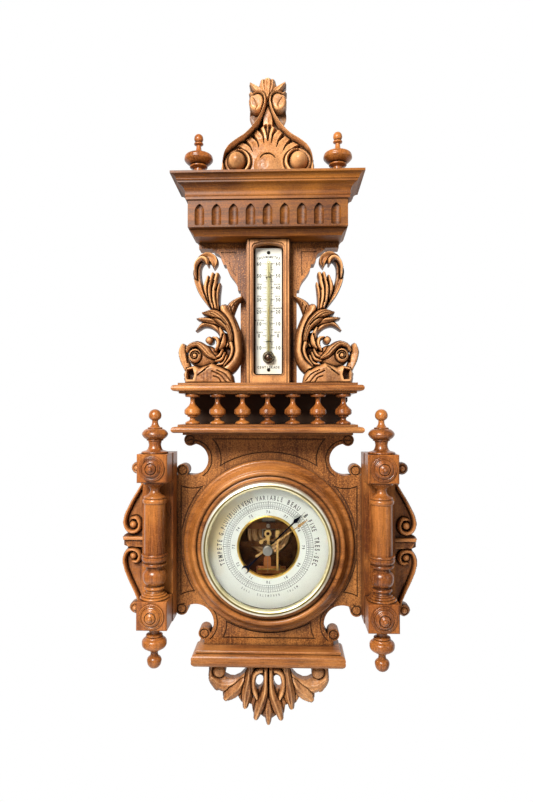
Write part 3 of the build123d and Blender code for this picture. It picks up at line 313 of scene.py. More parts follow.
looks = {
    "board_z": stippled("walnut_board", *BOARD, "z", 1.0),
    "board_up": stippled("walnut_upper_board", *BOARD, "z", 2.0),
    "frame": walnut("walnut_frame", *FRAME, "z", 0.42, 1.0, seed=3.0, coat=0.3),
    "ring": walnut("walnut_ring", *RING, "x", 0.34, 0.9, seed=4.0, coat=0.4),
    "cornice": walnut("walnut_cornice", *SHADED_CORNICE, "x", 0.46, 0.8, seed=5.0, coat=0.0),
    "frieze": walnut("walnut_frieze", *SHADED_CORNICE, "x", 0.5, 0.8, seed=6.0, coat=0.0),
    "shelf": walnut("walnut_shelf", *SHELF, "x", 0.36, 1.1, seed=7.0, coat=0.4),
    "column": walnut("walnut_column", *TURNED, "z", 0.28, 0.9, seed=8.0, coat=0.6),
    "block": walnut("walnut_block", *TURNED, "z", 0.34, 1.0, seed=9.0),
    "turned": walnut("walnut_turned", *TURNED, "z", 0.28, 0.7, seed=10.0, coat=0.6),
    # gallery back behind the balusters: board walnut at a sixth of its brightness, painted shade
    "dark": walnut("walnut_gallery_shade", *(tuple(c * 0.16 for c in t[:3]) + (1.0,) for t in BOARD), "x", 0.6, 1.0,
                   seed=11.0),
    "carved": walnut("walnut_carved", *CARVED, "z", 0.42, 0.5, True, 12.0, 0.3),
    "scroll": walnut("walnut_scroll", *ROLLED, "z", 0.36, 0.6, True, 13.0, 0.35),
    "brass": metal("brass", rgb(222, 180, 96), rgb(140, 92, 40), 0.26, wear=0.6),
    # movement under the dial: brass darkened as painted shade
    "shaded_movement": metal("shaded_movement_brass", rgb(104, 66, 38), rgb(54, 28, 17), 0.36, wear=0.9),
    "hand_brass": metal("hand_brass", rgb(236, 190, 108), rgb(214, 158, 84), 0.5, wear=0.4, shine=0.15),
    "lever": metal("lever_brass", rgb(236, 196, 116), rgb(166, 112, 54), 0.36,
                   dark_beyond=("X", 0.0088, 0.0078), shine=0.6),
    "cock": metal("cock_brass", rgb(238, 200, 122), rgb(166, 112, 54), 0.36,
                  dark_beyond=("Z", DIAL_Z + 0.0186, DIAL_Z + 0.0194), shine=0.6),
    "rim": metal("brass_rim", rgb(240, 202, 104), rgb(196, 144, 60), 0.22, wear=0.5),
    "nickel": bezel_metal(),
    "knob": metal("knob_nickel", rgb(150, 148, 140), rgb(96, 92, 84), 0.34, wear=0.6),
    "copper": metal("copper", rgb(214, 136, 78), rgb(140, 74, 34), 0.36, wear=0.6, shine=0.7),
    "steel": metal("steel", rgb(150, 140, 124), rgb(90, 72, 52), 0.30),
    "capsule": metal("capsule_metal", rgb(190, 150, 104), rgb(112, 66, 36), 0.24, wear=0.6),
    "blued": metal("blued_steel", rgb(16, 18, 34), rgb(30, 24, 30), 0.30, wear=0.3),
    "black": metal("black_steel", rgb(26, 24, 22), rgb(44, 38, 32), 0.42),
    "dial": enamel("dial_enamel", rgb(248, 254, 246), rgb(222, 202, 150), at(-60, 26, 34), 0.068, 0.95,
                   (58 * MM, 66 * MM)),
    "scale": enamel("scale_enamel", rgb(200, 201, 192), rgb(176, 166, 132), at(0, 205, 22), 0.018),
    "glass": clear_glass("glass"),
    "tube": clear_glass("tube_glass", rgb(250, 248, 224)),
    "ink": ink("ink", rgb(14, 14, 16)),
    "pale_ink": ink("pale_ink", rgb(40, 42, 42)),
}


def spirit_material():
    """Dark red spirit in the bulb, faded to straw in the stem."""
    n = Nodes("spirit")
    where = n.add("ShaderNodeTexCoord", {}, {}, "Object")
    height = n.add("ShaderNodeSeparateXYZ", {}, {"Vector": where}, "Z")
    top_of_bulb = DIAL_Z + 231.5 * MM
    up = n.ramp(height, top_of_bulb - 0.001, top_of_bulb + 0.001)
    cloud = n.noise(n.point(), 300.0, 3.0)
    bulb = n.mix(n.ramp(cloud, 0.4, 0.7, 0.0, 0.6), rgb(34, 12, 8), rgb(66, 24, 12))
    stem = n.mix(n.ramp(cloud, 0.4, 0.7, 0.0, 0.5), rgb(222, 212, 160), rgb(206, 190, 130))
    n.set("Base Color", n.mix(up, bulb, stem))
    n.set("Roughness", n.ramp(cloud, 0.3, 0.8, 0.10, 0.22))
    n.set("Coat Weight", 0.8)
    return n.material


looks["spirit"] = spirit_material()

FINISH = {
    "board_z": ("back_board",),
    "board_up": ("upper_board",),
    "frame": ("thermometer_frame",),
    "ring": ("dial_ring",),
    "cornice": ("cornice", "bed_moulding"),
    "frieze": ("frieze",),
    "shelf": ("upper_shelf", "lower_shelf", "base_moulding"),
    "column": ("columns",),
    "block": ("upper_blocks", "lower_blocks", "pilasters"),
    "turned": ("balusters", "block_bosses", "pillar_finials", "pillar_drops", "cornice_finials"),
    "dark": ("gallery_back",),
    "brass": ("hanger_plate", "rocker_shaft", "dial_pillars"),
    "cock": ("arbor_cock",),
    "lever": ("main_lever", "capsule_post"),
    "shaded_movement": ("drum_case", "movement_plate", "spring_bridge", "arbor_bridge"),
    "copper": ("calibration_bracket",),
    "hand_brass": ("set_hand",),
    "rim": ("dial_rim",),
    "nickel": ("bezel",),
    "knob": ("set_knob",),
    "steel": ("hanger_screws", "drum_screws", "movement_plate_screws", "movement_screws",
              "link_rod", "pointer_arbor", "adjusting_screw", "mainspring", "hairspring", "chain"),
    "capsule": ("capsule_base", "capsule_diaphragm"),
    "blued": ("pressure_hand",),
    "black": ("thermometer_fixings",),
    "dial": ("dial",),
    "scale": ("thermometer_plate",),
    "glass": ("glass",),
    "tube": ("thermometer_tube",),
    "spirit": ("thermometer_liquid",),
    "carved": ("crest", "dolphin_left", "dolphin_right", "side_scroll_left", "side_scroll_right", "pendant"),
}


def dress_frame():
    for look, names in FINISH.items():
        for name in names:
            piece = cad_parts[name]
            for slot in piece.material_slots:
                slot.material = looks[look]


# ---------- carved reliefs ----------

CELL = 0.5          # spacing of the height maps, mm
CURVE_STEP = 1.0    # spacing of the points along a stroke, mm


def smooth_curve(points, values):
    """A Catmull-Rom curve through the points, with the values (such as widths) carried along it."""
    points = np.array(points, float)
    values = np.broadcast_to(np.array(values, float), (len(points),))
    full = np.column_stack([points, values])
    full = np.vstack([2 * full[0] - full[1], full, 2 * full[-1] - full[-2]])
    rows = []
    for a, b, c, d in zip(full, full[1:], full[2:], full[3:]):
        count = max(2, int(math.dist(b[:2], c[:2]) / CURVE_STEP) + 1)
        for t in np.linspace(0, 1, count, endpoint=False):
            rows.append(0.5 * (2 * b + (c - a) * t + (2 * a - 5 * b + 4 * c - d) * t * t
                               + (3 * b - a - 3 * c + d) * t ** 3))
    rows.append(full[-2])
    rows = np.array(rows)
    return rows[:, :2], np.maximum(rows[:, 2], 0.05)


def blurred(field, reach):
    """A soft blur of a height map, by repeated box sums in both directions."""
    size = max(1, int(round(reach / CELL)))
    kernel = np.ones(2 * size + 1) / (2 * size + 1)
    for _ in range(2):
        for axis in (0, 1):
            field = np.apply_along_axis(lambda row: np.convolve(row, kernel, "same"), axis, field)
    return field


# Reaches, depths and clearances of the reliefs, mm.
FAR = 99.0
STROKE_MARGIN = 5.0
DITCH_WIDTH, DOME_DITCH_WIDTH = 1.6, 1.8
LEAST_FLOOR, LEAST_WOOD, FRONT_GAP = 1.0, 0.8, 0.02
TOOL_MARK_REACH, TOOL_MARK_DEPTH, SHADE_REACH = 0.9, 0.55, 2.4
CREASE_DEGREES = 55


class Relief:
    """A carved piece: "cover" is how far a point lies inside the outline and "height" is its depth in front
    of the wall. Strokes add to both, cuts lower the height, and mesh() turns the result into a solid."""

    def __init__(self, node):
        low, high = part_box(node)
        self.back, self.front = -high[1] / MM, -low[1] / MM
        x0, x1 = low[0] / MM, high[0] / MM
        z0, z1 = (low[2] - DIAL_Z) / MM, (high[2] - DIAL_Z) / MM
        self.x, self.z = np.meshgrid(np.arange(x0 - 1, x1 + 1, CELL), np.arange(z0 - 1, z1 + 1, CELL))
        self.cover = np.full(self.x.shape, -9.0)
        self.height = np.full(self.x.shape, self.back)
        self.soot = np.zeros(self.x.shape)
        self.box_cover = np.minimum.reduce([self.x - x0, x1 - self.x, self.z - z0, z1 - self.z]) - 0.06

    def trace(self, points, widths):
        """Distance outside a stroke, and from its spine over its half width (+ is right of travel)."""
        spine, half = smooth_curve(points, widths)
        gap = np.full(self.x.shape, FAR)
        across = np.full(self.x.shape, 9.0)
        for (ax, az), (bx, bz), wa, wb in zip(spine, spine[1:], half, half[1:]):
            reach = max(wa, wb) + STROKE_MARGIN
            rows = slice(*np.searchsorted(self.z[:, 0], (min(az, bz) - reach, max(az, bz) + reach)))
            cols = slice(*np.searchsorted(self.x[0], (min(ax, bx) - reach, max(ax, bx) + reach)))
            px, pz = self.x[rows, cols] - ax, self.z[rows, cols] - az
            dx, dz = bx - ax, bz - az
            length = dx * dx + dz * dz + 1e-9
            t = np.clip((px * dx + pz * dz) / length, 0, 1)
            d = np.hypot(px - t * dx, pz - t * dz)
            w = wa + (wb - wa) * t
            side = np.sign(px * dz - pz * dx)
            closer = d - w < gap[rows, cols]
            gap[rows, cols] = np.where(closer, d - w, gap[rows, cols])
            across[rows, cols] = np.where(closer, side * d / w, across[rows, cols])
        return gap, across

    def ridge(self, points, widths, edge, top, tilt=0.0, flutes=0, groove=1.0, hollow=0.0, over=False,
              trench=0.0):
        """A carved band: round or hollowed across, leaning to one side, fluted along its length."""
        gap, across = self.trace(points, widths)
        inside = gap < 0
        u = np.clip(across, -1, 1)
        dome = np.sqrt(np.clip(1 - u * u, 0, 1))
        gutter = np.abs(u) ** 1.6 * np.clip((1 - np.abs(u)) / 0.22, 0, 1)
        share = ((1 - hollow) * dome + hollow * gutter) * (1 + tilt * u)
        new = edge + (top - edge) * share
        if flutes:
            new = new - groove * (0.5 - 0.5 * np.cos(math.pi * (flutes + 1) * (u + 1))) * dome
        if trench:
            ditch = np.clip(1 - gap / DITCH_WIDTH, 0, 1) * (gap >= 0)
            self.height = np.maximum(self.height - trench * ditch, self.back + LEAST_FLOOR)
        base = new if over else np.maximum(self.height, new)
        self.height = np.where(inside, base, self.height)
        self.cover = np.maximum(self.cover, -gap)

    def leaf(self, points, widths, edge, top, trench=0.0, **shape):
        """A ridge laid over whatever is there, with a trench of the given depth round it."""
        self.ridge(points, widths, edge, top, over=True, trench=trench, **shape)

    def cut(self, points, width, depth):
        """A V-like groove along a stroke."""
        gap, across = self.trace(points, width)
        self.height -= depth * np.clip(1 - across ** 2, 0, 1) * (gap < 0)

    def polygon(self, outline):
        """Signed distance inside a closed outline."""
        outline = np.array(outline, float)
        inside = np.zeros(self.x.shape, bool)
        near = np.full(self.x.shape, FAR)
        for (ax, az), (bx, bz) in zip(outline, np.roll(outline, -1, axis=0)):
            dx, dz = bx - ax, bz - az
            px, pz = self.x - ax, self.z - az
            t = np.clip((px * dx + pz * dz) / (dx * dx + dz * dz + 1e-9), 0, 1)
            near = np.minimum(near, np.hypot(px - t * dx, pz - t * dz))
            crosses = (az > self.z) != (bz > self.z)
            where = ax + (self.z - az) * dx / np.where(abs(dz) < 1e-9, 1e-9, dz)
            inside ^= crosses & (self.x < where)
        return np.where(inside, near, -near)

    def patch(self, outline, edge, top, soft=3.0, over=False):
        """A pad over a closed outline, rounded down towards its edge."""
        inside = self.polygon(outline)
        share = np.sqrt(np.clip(1 - (1 - np.clip(inside / soft, 0, 1)) ** 2, 0, 1))
        new = edge + (top - edge) * share
        base = new if over else np.maximum(self.height, new)
        self.height = np.where(inside > 0, base, self.height)
        self.cover = np.maximum(self.cover, inside)

    def sink(self, outline, depth, soft=1.5, soot=0.0):
        """Lowers everything inside an outline to one depth, with sloping sides; the last argument
            paints shade on the sunk floor.
        """
        share = np.clip(self.polygon(outline) / soft, 0, 1)
        self.soot = np.maximum(self.soot, soot * share)
        self.height = np.where(share > 0, self.height + (depth - self.height) * share, self.height)

    def dome(self, x, z, rx, rz, edge, top, over=False, trench=0.0):
        s = np.hypot((self.x - x) / rx, (self.z - z) / rz)
        new = edge + (top - edge) * np.sqrt(np.clip(1 - s * s, 0, 1))
        if trench:
            ditch = np.clip(1 - (s - 1) * min(rx, rz) / DOME_DITCH_WIDTH, 0, 1) * (s >= 1)
            self.height = np.maximum(self.height - trench * ditch, self.back + LEAST_FLOOR)
        base = new if over else np.maximum(self.height, new)
        self.height = np.where(s < 1, base, self.height)
        self.cover = np.maximum(self.cover, (1 - s) * min(rx, rz))

    def spiral(self, x, z, radius, turns, width, depth, start=0.0):
        """A rolled end: a groove that winds in to a small button."""
        points = []
        for k in range(int(turns * 10) + 1):
            angle = start + k * math.pi / 5
            r = radius * (1 - 0.75 * k / (turns * 10))
            points.append((x + r * math.cos(angle), z + r * math.sin(angle)))
        self.cut(points, width, depth)

    def hole(self, outline):
        self.cover = np.minimum(self.cover, -self.polygon(outline))

    def mesh(self, name, mirror=1):
        """Clips the grid at the outline and closes it with walls and a flat back."""
        rng = np.random.default_rng(7)
        cover = np.minimum(self.cover, self.box_cover)
        marks = blurred(rng.normal(0, 1, cover.shape), TOOL_MARK_REACH)
        low, high = self.back + LEAST_WOOD, self.front - FRONT_GAP
        height = np.clip(self.height + marks * TOOL_MARK_DEPTH, low, high)
        # hollow, for painted light and shade: how far a point stands above the blurred heights around it,
        # lowered further on sunk floors that get painted shade
        weight = (cover > 0).astype(float)
        around = blurred(height * weight, SHADE_REACH) / np.maximum(blurred(weight, SHADE_REACH), 1e-3)
        deep = np.clip((around - height) / 3 + 0.6, 0, 1)
        hollow = np.clip(0.5 + 0.13 * (height - around) - self.soot * deep, 0, 1)
        ids = np.full(cover.shape, -1)
        inside = cover > 0
        ids[inside] = np.arange(inside.sum())
        spots = [tuple(v) for v in np.column_stack([self.x[inside], self.z[inside], height[inside],
                                                    hollow[inside]])]
        faces, edge_spots = [], {}

        def crossing(a, b):
            key = (min(a, b), max(a, b))
            if key not in edge_spots:
                (ka, kb) = key
                share = cover[ka] / (cover[ka] - cover[kb])
                solid = ka if inside[ka] else kb
                edge_spots[key] = len(spots)
                spots.append((self.x[ka] + (self.x[kb] - self.x[ka]) * share,
                              self.z[ka] + (self.z[kb] - self.z[ka]) * share, height[solid], hollow[solid]))
            return edge_spots[key]

        count = (inside[:-1, :-1].astype(int) + inside[:-1, 1:] + inside[1:, 1:] + inside[1:, :-1])
        for j, i in zip(*np.nonzero(count)):
            corners = [(j, i), (j, i + 1), (j + 1, i + 1), (j + 1, i)]
            if count[j, i] == 4:
                faces.append([ids[c] for c in corners])
                continue
            ring = []
            for a, b in zip(corners, corners[1:] + corners[:1]):
                if inside[a]:
                    ring.append(ids[a])
                if inside[a] != inside[b]:
                    ring.append(crossing(a, b))
            if len(ring) > 2:
                faces.append(ring)
        return solid_mesh(name, np.array(spots), faces, self.back, mirror)


def solid_mesh(name, spots, faces, back, mirror):
    """A closed mesh from a front skin: the same skin flat at the back and a wall round every rim."""
    used = {}
    for ring in faces:
        for a, b in zip(ring, list(ring[1:]) + [ring[0]]):
            used[(int(a), int(b))] = True
    rims = [(a, b) for a, b in used if (b, a) not in used]
    total = len(spots)
    points = [at(mirror * x, z, h) for x, z, h, _ in spots] + [at(mirror * x, z, back) for x, z, _,
                                                               _ in spots]
    rings = [[int(v) for v in ring] for ring in faces]
    rings += [[int(v) + total for v in reversed(ring)] for ring in faces]
    rings += [[b, a, a + total, b + total] for a, b in rims]
    if mirror < 0:
        rings = [ring[::-1] for ring in rings]
    mesh = bpy.data.meshes.new(name)
    mesh.from_pydata(points, [], rings)
    mesh.polygons.foreach_set("use_smooth", [True] * len(rings))
    # the hollow attribute carries the relief's painted light and shade; the back gets a neutral 0.5
    tone = mesh.attributes.new("hollow", "FLOAT", "POINT")
    shades = np.concatenate([spots[:, 3], np.full(total, 0.5)])
    tone.data.foreach_set("value", shades.astype(np.float32))
    mesh.update()
    mesh.set_sharp_from_angle(angle=math.radians(CREASE_DEGREES))
    return mesh


def place_relief(relief, node, mirror=1, look="carved"):
    mesh = relief.mesh(node + "_carving", mirror)
    mesh.materials.append(looks[look])
    piece = placed(node + "_carving", mesh)
    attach(piece, "case")
    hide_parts(node)


def flip(sign, points):
    """The points as drawn for a sign of 1, mirrored for -1."""
    return [(sign * x, z) for x, z in points]


def dolphin():
    """Dolphin on its chin: head below, the body rising to a tail that scrolls over at the top."""
    r = Relief("dolphin_left")
    dolphin_tail(r)
    dolphin_gills(r)
    dolphin_head(r)
    dolphin_jaw(r)
    return r


def dolphin_tail(r):
    """Tail fins and body, the hooked scroll and the middle leaf."""
    r.ridge([(-48, 276), (-43, 285.5), (-38, 291), (-31, 295.5)], [7, 5.5, 3.4, 1.2], 25, 37, tilt=-0.2,
            flutes=3, groove=1.6)
    r.ridge([(-52, 281.5), (-46, 268), (-40, 256), (-37, 246), (-35.8, 236), (-36, 228), (-39.5, 218),
             (-46.5, 210.5), (-56, 205)], [6, 7.4, 6.4, 5.8, 5.4, 5.4, 6.2, 7.5, 8], 25, 42, tilt=0.22)
    r.cut([(-45, 284), (-41, 270), (-35.5, 254)], 0.8, 2.6)
    r.cut([(-41, 288), (-37.5, 272), (-33, 252)], 0.6, 2.0)
    # the hooked scroll
    r.ridge([(-60, 276), (-66.5, 282.5), (-72, 290), (-78.5, 300), (-83, 311), (-85.2, 322), (-84.5, 333),
             (-80, 341), (-73, 344.2), (-67, 342), (-64.5, 337), (-65, 330)],
            [2, 2.6, 3.2, 3.8, 4.4, 4.6, 4.6, 5, 5.8, 5.6, 4, 0.5], 24, 42, hollow=0.55)
    r.leaf([(-86, 318), (-86.5, 331), (-83, 338), (-78, 341), (-73.5, 339), (-72, 334)],
           [0.8, 1.6, 2.2, 2.5, 2.5, 1.2], 34, 45, 3)
    r.cut([(-70, 289), (-76, 300), (-79.5, 311), (-81, 322)], 1.2, 6)
    # middle leaf
    r.leaf([(-66, 283), (-71.5, 297), (-74, 308), (-71.5, 319.5)], [1.8, 2.8, 3.4, 1.8], 27, 40, 4)
    r.leaf([(-60, 280), (-61, 291), (-60.5, 300), (-57.5, 311)], [2.4, 3.2, 3.2, 1.4], 27, 40, 4)
    r.leaf([(-65, 282), (-68.3, 295), (-68.6, 308), (-65.5, 322)], [1.8, 2.8, 3.2, 2.4], 29, 44, 4)
    r.leaf([(-62, 281), (-64.6, 295), (-64, 308), (-60.5, 322)], [2, 2.8, 3.4, 2.6], 29, 42, 3)
    r.cut([(-70.6, 290), (-72, 303), (-69, 314)], 0.9, 7)
    r.cut([(-66.4, 288.5), (-66.6, 302), (-64, 314)], 0.9, 7)
    r.cut([(-62.8, 303), (-58.8, 311.5)], 1.1, 7)


def dolphin_gills(r):
    """The ground inside the curl of the body, then the gill leaves and ribs."""
    r.patch([(-58, 256), (-44, 252), (-41, 236), (-45, 222), (-57, 210), (-62, 230)], 24, 25, 1.0)
    r.leaf([(-50, 261), (-46, 252), (-46, 243.5), (-50, 236.5)], [2, 3.2, 2.4, 0.7], 27, 37, 2, hollow=0.3)
    r.leaf([(-57, 258), (-54, 249), (-54, 241), (-57, 234)], [1.5, 3.6, 3.8, 1.2], 30, 42, 3)
    r.cut([(-53.5, 250.5), (-55.5, 242)], 1.1, 7)
    ribs = (((-62, 223), (-57, 226), (-54, 232.5)), ((-62, 219), (-55, 221.5), (-51.5, 229)),
            ((-60, 214.5), (-52.5, 217), (-49, 225.5)))
    for k, (low, mid, tip) in enumerate(ribs):
        r.leaf([low, mid, tip], [1.3, 1.9, 0.9], 32, 42 - k, 3)


def dolphin_head(r):
    """Head, snout and eye, then the acanthus leaf over the back."""
    r.dome(-77, 225, 19, 14, 28, 38)
    r.leaf([(-96.5, 211), (-100.5, 221), (-102.3, 230), (-101.5, 237)], [4.5, 5, 5.0, 3.4], 26, 40, tilt=-0.2,
           hollow=0.25)
    r.cut([(-96, 218), (-97.5, 228), (-96.5, 236)], 1.2, 6)
    r.leaf([(-62, 222), (-70, 227), (-76, 234), (-84, 239.5), (-93, 237), (-96.5, 231)],
           [1.2, 4, 5, 3.4, 2.6, 1.2], 33, 43, 3, flutes=2, groove=2.2)
    r.dome(-86.6, 225.4, 7.6, 8.2, 36, 44, True, 4)
    r.spiral(-86.6, 225.4, 5.6, 1.7, 1.1, 6, 0.4)
    r.dome(-86.6, 225.4, 2.3, 2.3, 38, 45)
    r.dome(-69.3, 243.4, 4.6, 4.4, 36, 46, True, 4)
    r.leaf([(-65, 246.8), (-60.6, 245.2), (-59, 239), (-62.5, 231.5)], [1.4, 2.2, 2.4, 1.0], 32, 43, 4)
    # acanthus leaf over the back
    r.ridge([(-55.5, 247), (-59, 255.5), (-67, 262), (-77, 263), (-86, 255)], [1.5, 3.2, 3.8, 3.4, 0.7], 27,
            38, flutes=1, groove=1.5)
    r.leaf([(-50, 258), (-59, 266), (-71, 268), (-84, 269)], [3, 4.6, 3.8, 1.0], 32, 42, 3, flutes=1,
           groove=2.5)
    r.leaf([(-44.5, 236), (-43.5, 246), (-47, 258), (-55, 268), (-65, 275), (-77, 275.5)],
           [1.6, 2.6, 4, 6.2, 5.2, 1.2], 34, 46.5, 4, tilt=-0.1, flutes=3, groove=3.0)
    r.leaf([(-43.8, 240), (-42.2, 232), (-45, 222.5), (-52, 213.5)], [2.4, 2, 1.8, 1.0], 34, 43, 3)
    r.cut([(-65, 270.5), (-56, 267.5), (-49, 261)], 1.0, 5)


def dolphin_jaw(r):
    """The block under the head, the hollow sunk into it and the grooves across it."""
    r.patch([(-99, 190), (-100.4, 204), (-97, 211.5), (-87, 214), (-81, 211.5), (-67, 217), (-58, 213.5),
             (-46, 208.5), (-41.5, 201), (-39.5, 190)], 30, 43, 6.0, True)
    r.sink([(-96, 197), (-96.5, 209), (-88.5, 210.5), (-86.5, 203), (-88.5, 196.5)], 27, 1.6)
    for low, high in (((-44, 195), (-60, 208)), ((-49, 194), (-66, 207)), ((-55, 193.5), (-64, 201)),
                      ((-70, 212.5), (-78, 206)), ((-74, 208.5), (-83, 202))):
        r.cut([low, ((low[0] + high[0]) / 2 + 1.5, (low[1] + high[1]) / 2 + 1.5), high], 0.9, 2.6)
    r.cut([(-99, 193.5), (-70, 192.8), (-42, 193.2)], 1.0, 2.5)


def crest():
    """A swelling shell between two volutes, a waisted stem with rolled ears and a plume on top."""
    r = Relief("crest")
    half = [(0, 430), (53.5, 430), (53.5, 446), (52.4, 457), (47.5, 467), (38, 475), (27, 482), (18, 489),
            (13.6, 494), (17.6, 500), (21.5, 508), (20, 519), (12, 524), (0, 526)]
    r.patch(half + flip(-1, reversed(half)), 43, 51, 22.0)
    r.dome(0, 446, 40, 38, 44, 56)
    r.dome(0, 444, 21, 21, 46, 60)
    slits = (((2.4, 492), (1.2, 484), (0.4, 474)), ((9.5, 489), (5.6, 481), (4.4, 471)),
             ((17.5, 481.5), (12.5, 474.5), (10.2, 466)), ((27, 475), (21.5, 469.5), (17.6, 461)),
             ((37, 468), (31, 466.5), (26.5, 462)))
    for s in (1, -1):
        # plume: three broad leaves a side, the lowest curling outwards
        r.ridge(flip(s, [(4, 523), (9, 531), (13.5, 535.5), (20, 540.5)]), [5, 7.0, 5.0, 1.6], 43, 56,
                flutes=2, groove=1.6)
        r.ridge(flip(s, [(2, 520), (12, 524.5), (20, 531)]), [3.5, 5.0, 2.2], 42, 53, flutes=1, groove=1.6,
                trench=2)
        r.ridge(flip(s, [(1.5, 524), (5.0, 534), (5.6, 543)]), [4, 5.6, 3.4], 45, 58, flutes=1, groove=1.8)
        # sunk hollow beside the stem, darkened with painted shade, and the smooth rolled ear above it
        r.ridge(flip(s, [(14, 497), (16, 505), (15.5, 513)]), [4, 5.6, 5], 41, 43)
        r.sink(flip(s, [(5, 492), (13, 488), (24, 500), (23, 510), (11, 513), (5, 508)]), 41.0, 2.0, 0.45)
        turns = np.linspace(0, 2 * math.pi, 24, False)
        ear = [(12.9 + 9.0 * math.cos(t), 518.4 + 10.4 * math.sin(t)) for t in turns]
        r.patch(flip(s, ear), 52, 57, 3.4, True)
        r.cut(flip(s, [(15, 507.5), (12, 514), (17, 523)]), [0.3, 1.0, 0.3], 1.4)
        for slit in slits:
            r.cut(flip(s, slit), [2.6, 1.2, 0.25], 6.0)
        r.leaf(flip(s, [(52, 431), (51.6, 446), (50, 457), (45.5, 465.5), (37, 472.6), (27, 479), (19.5, 486),
                        (13.2, 494), (7.8, 503), (4.0, 513), (2.9, 521), (5.4, 527), (11, 529.0),
                        (17, 526.6)]), [2.2, 1.7, 1.4, 1.2, 1.2, 1.2, 1.2, 1.2, 1.2, 1.4, 1.4, 1.1, 0.9, 0.5],
               46, 60, 2.5)
        # volute: a round knob in the roll of a thin strap
        r.dome(s * 35.5, 450, 16.5, 17, 45, 53, True)
        bends = (-1.3, -0.8, -0.2, 0.4, 1.0, 1.6)
        roll = [(35.5 - 14.2 * math.cos(t), 449 + 14.2 * math.sin(t)) for t in bends]
        r.leaf(flip(s, roll), [2.4, 2.6, 2.6, 2.2, 1.6, 0.6], 46, 57, 3)
        r.dome(s * 36, 450.5, 10.8, 11.2, 46, 64, True, 2.5)
    r.ridge([(0, 524), (0, 532), (0, 538), (0, 541.5)], [3.0, 6.0, 7.6, 6.6], 46, 60, flutes=2, groove=1.6)
    r.cut([(-8.5, 452), (-5.5, 455.6), (0, 457.2), (5.5, 455.6), (8.5, 452)], [0.4, 1.0, 1.3, 1.0, 0.4], 4.5)
    return r


def pendant():
    """Broad leaves and looped straps hanging under the base moulding, pierced beside the stem and volutes."""
    r = Relief("pendant")
    top = -138
    half = [(0, top), (71.5, top), (70.4, -150), (69.6, -163), (63.6, -171), (54.7, -172.5), (54.6, -180),
            (47.8, -183), (38, -177), (34, -184), (29, -191), (22.5, -188.6), (20, -189), (18.6, -198),
            (15.7, -204.6), (10, -200.7), (4.3, -204.6), (0, -210.5)]
    r.patch(half + flip(-1, reversed(half)), 22, 26, 6.0)
    r.ridge([(0, -172), (0, -188), (0, -208.5)], [3.0, 7.4, 2.6], 24, 31, flutes=2, groove=1.2)
    for s in (1, -1):
        # outer leaf and the lobe below it, with the roll above
        r.ridge(flip(s, [(24, -148), (32, -161), (45, -166.5), (58, -165), (67, -157)]), [5, 8, 9, 7, 4.5],
                22, 30.5, flutes=2, groove=0.9)
        r.leaf(flip(s, [(28, -158), (36, -168), (44, -175), (50.5, -181)]), [4, 7, 7.6, 3.4], 23, 31, 1,
               flutes=1, groove=1.3)
        r.ridge(flip(s, [(66, top), (68, -150), (67, -160), (61, -168)]), [4, 3.2, 4, 4.5], 23, 29.5,
                flutes=1, groove=0.8)
        r.dome(s * 58.5, -148.5, 7.8, 7.8, 25, 32.6, True, 2)
        # middle leaf, the loop round the oval and the leaf that crosses under it
        r.leaf(flip(s, [(20.5, top), (21.5, -155), (24.5, -173), (27.4, -190)]), [5, 6.4, 7.4, 3.2], 23, 31.5,
               1.6, tilt=0.1, flutes=2, groove=1.3)
        r.leaf(flip(s, [(3, -147.6), (9.5, -147.0), (15.6, -151), (17.8, -160), (16.4, -171), (13.0, -180)]),
               [2.8, 3.4, 3.4, 3.0, 3.4, 2.0], 24, 32.4, 1.6)
        r.leaf(flip(s, [(3.2, -146), (3.2, -160), (4.6, -174), (9.6, -188), (14.6, -202.4)]),
               [2.8, 3.2, 4.2, 6.2, 3.2], 24, 32.8, 1.6, flutes=1, groove=1.3)
        lens = [(24.5, -141.8), (51, -141.8), (50.8, -150), (52.6, -154.6), (46, -157.8), (41, -158.2),
                (34, -155), (28, -149)]
        r.hole(flip(s, lens))
        turn = math.radians(12)
        oval = [(10.8 + 4.7 * math.cos(a) * math.cos(turn) - 8.4 * math.sin(a) * math.sin(turn),
                 -161 + 4.7 * math.cos(a) * math.sin(turn) + 8.4 * math.sin(a) * math.cos(turn))
                for a in np.linspace(0, 2 * math.pi, 28, endpoint=False)]
        r.hole(flip(s, oval))
    r.cut([(0, top), (0, -165), (0, -180)], [1.4, 1.1, 0.4], 5)
    return r


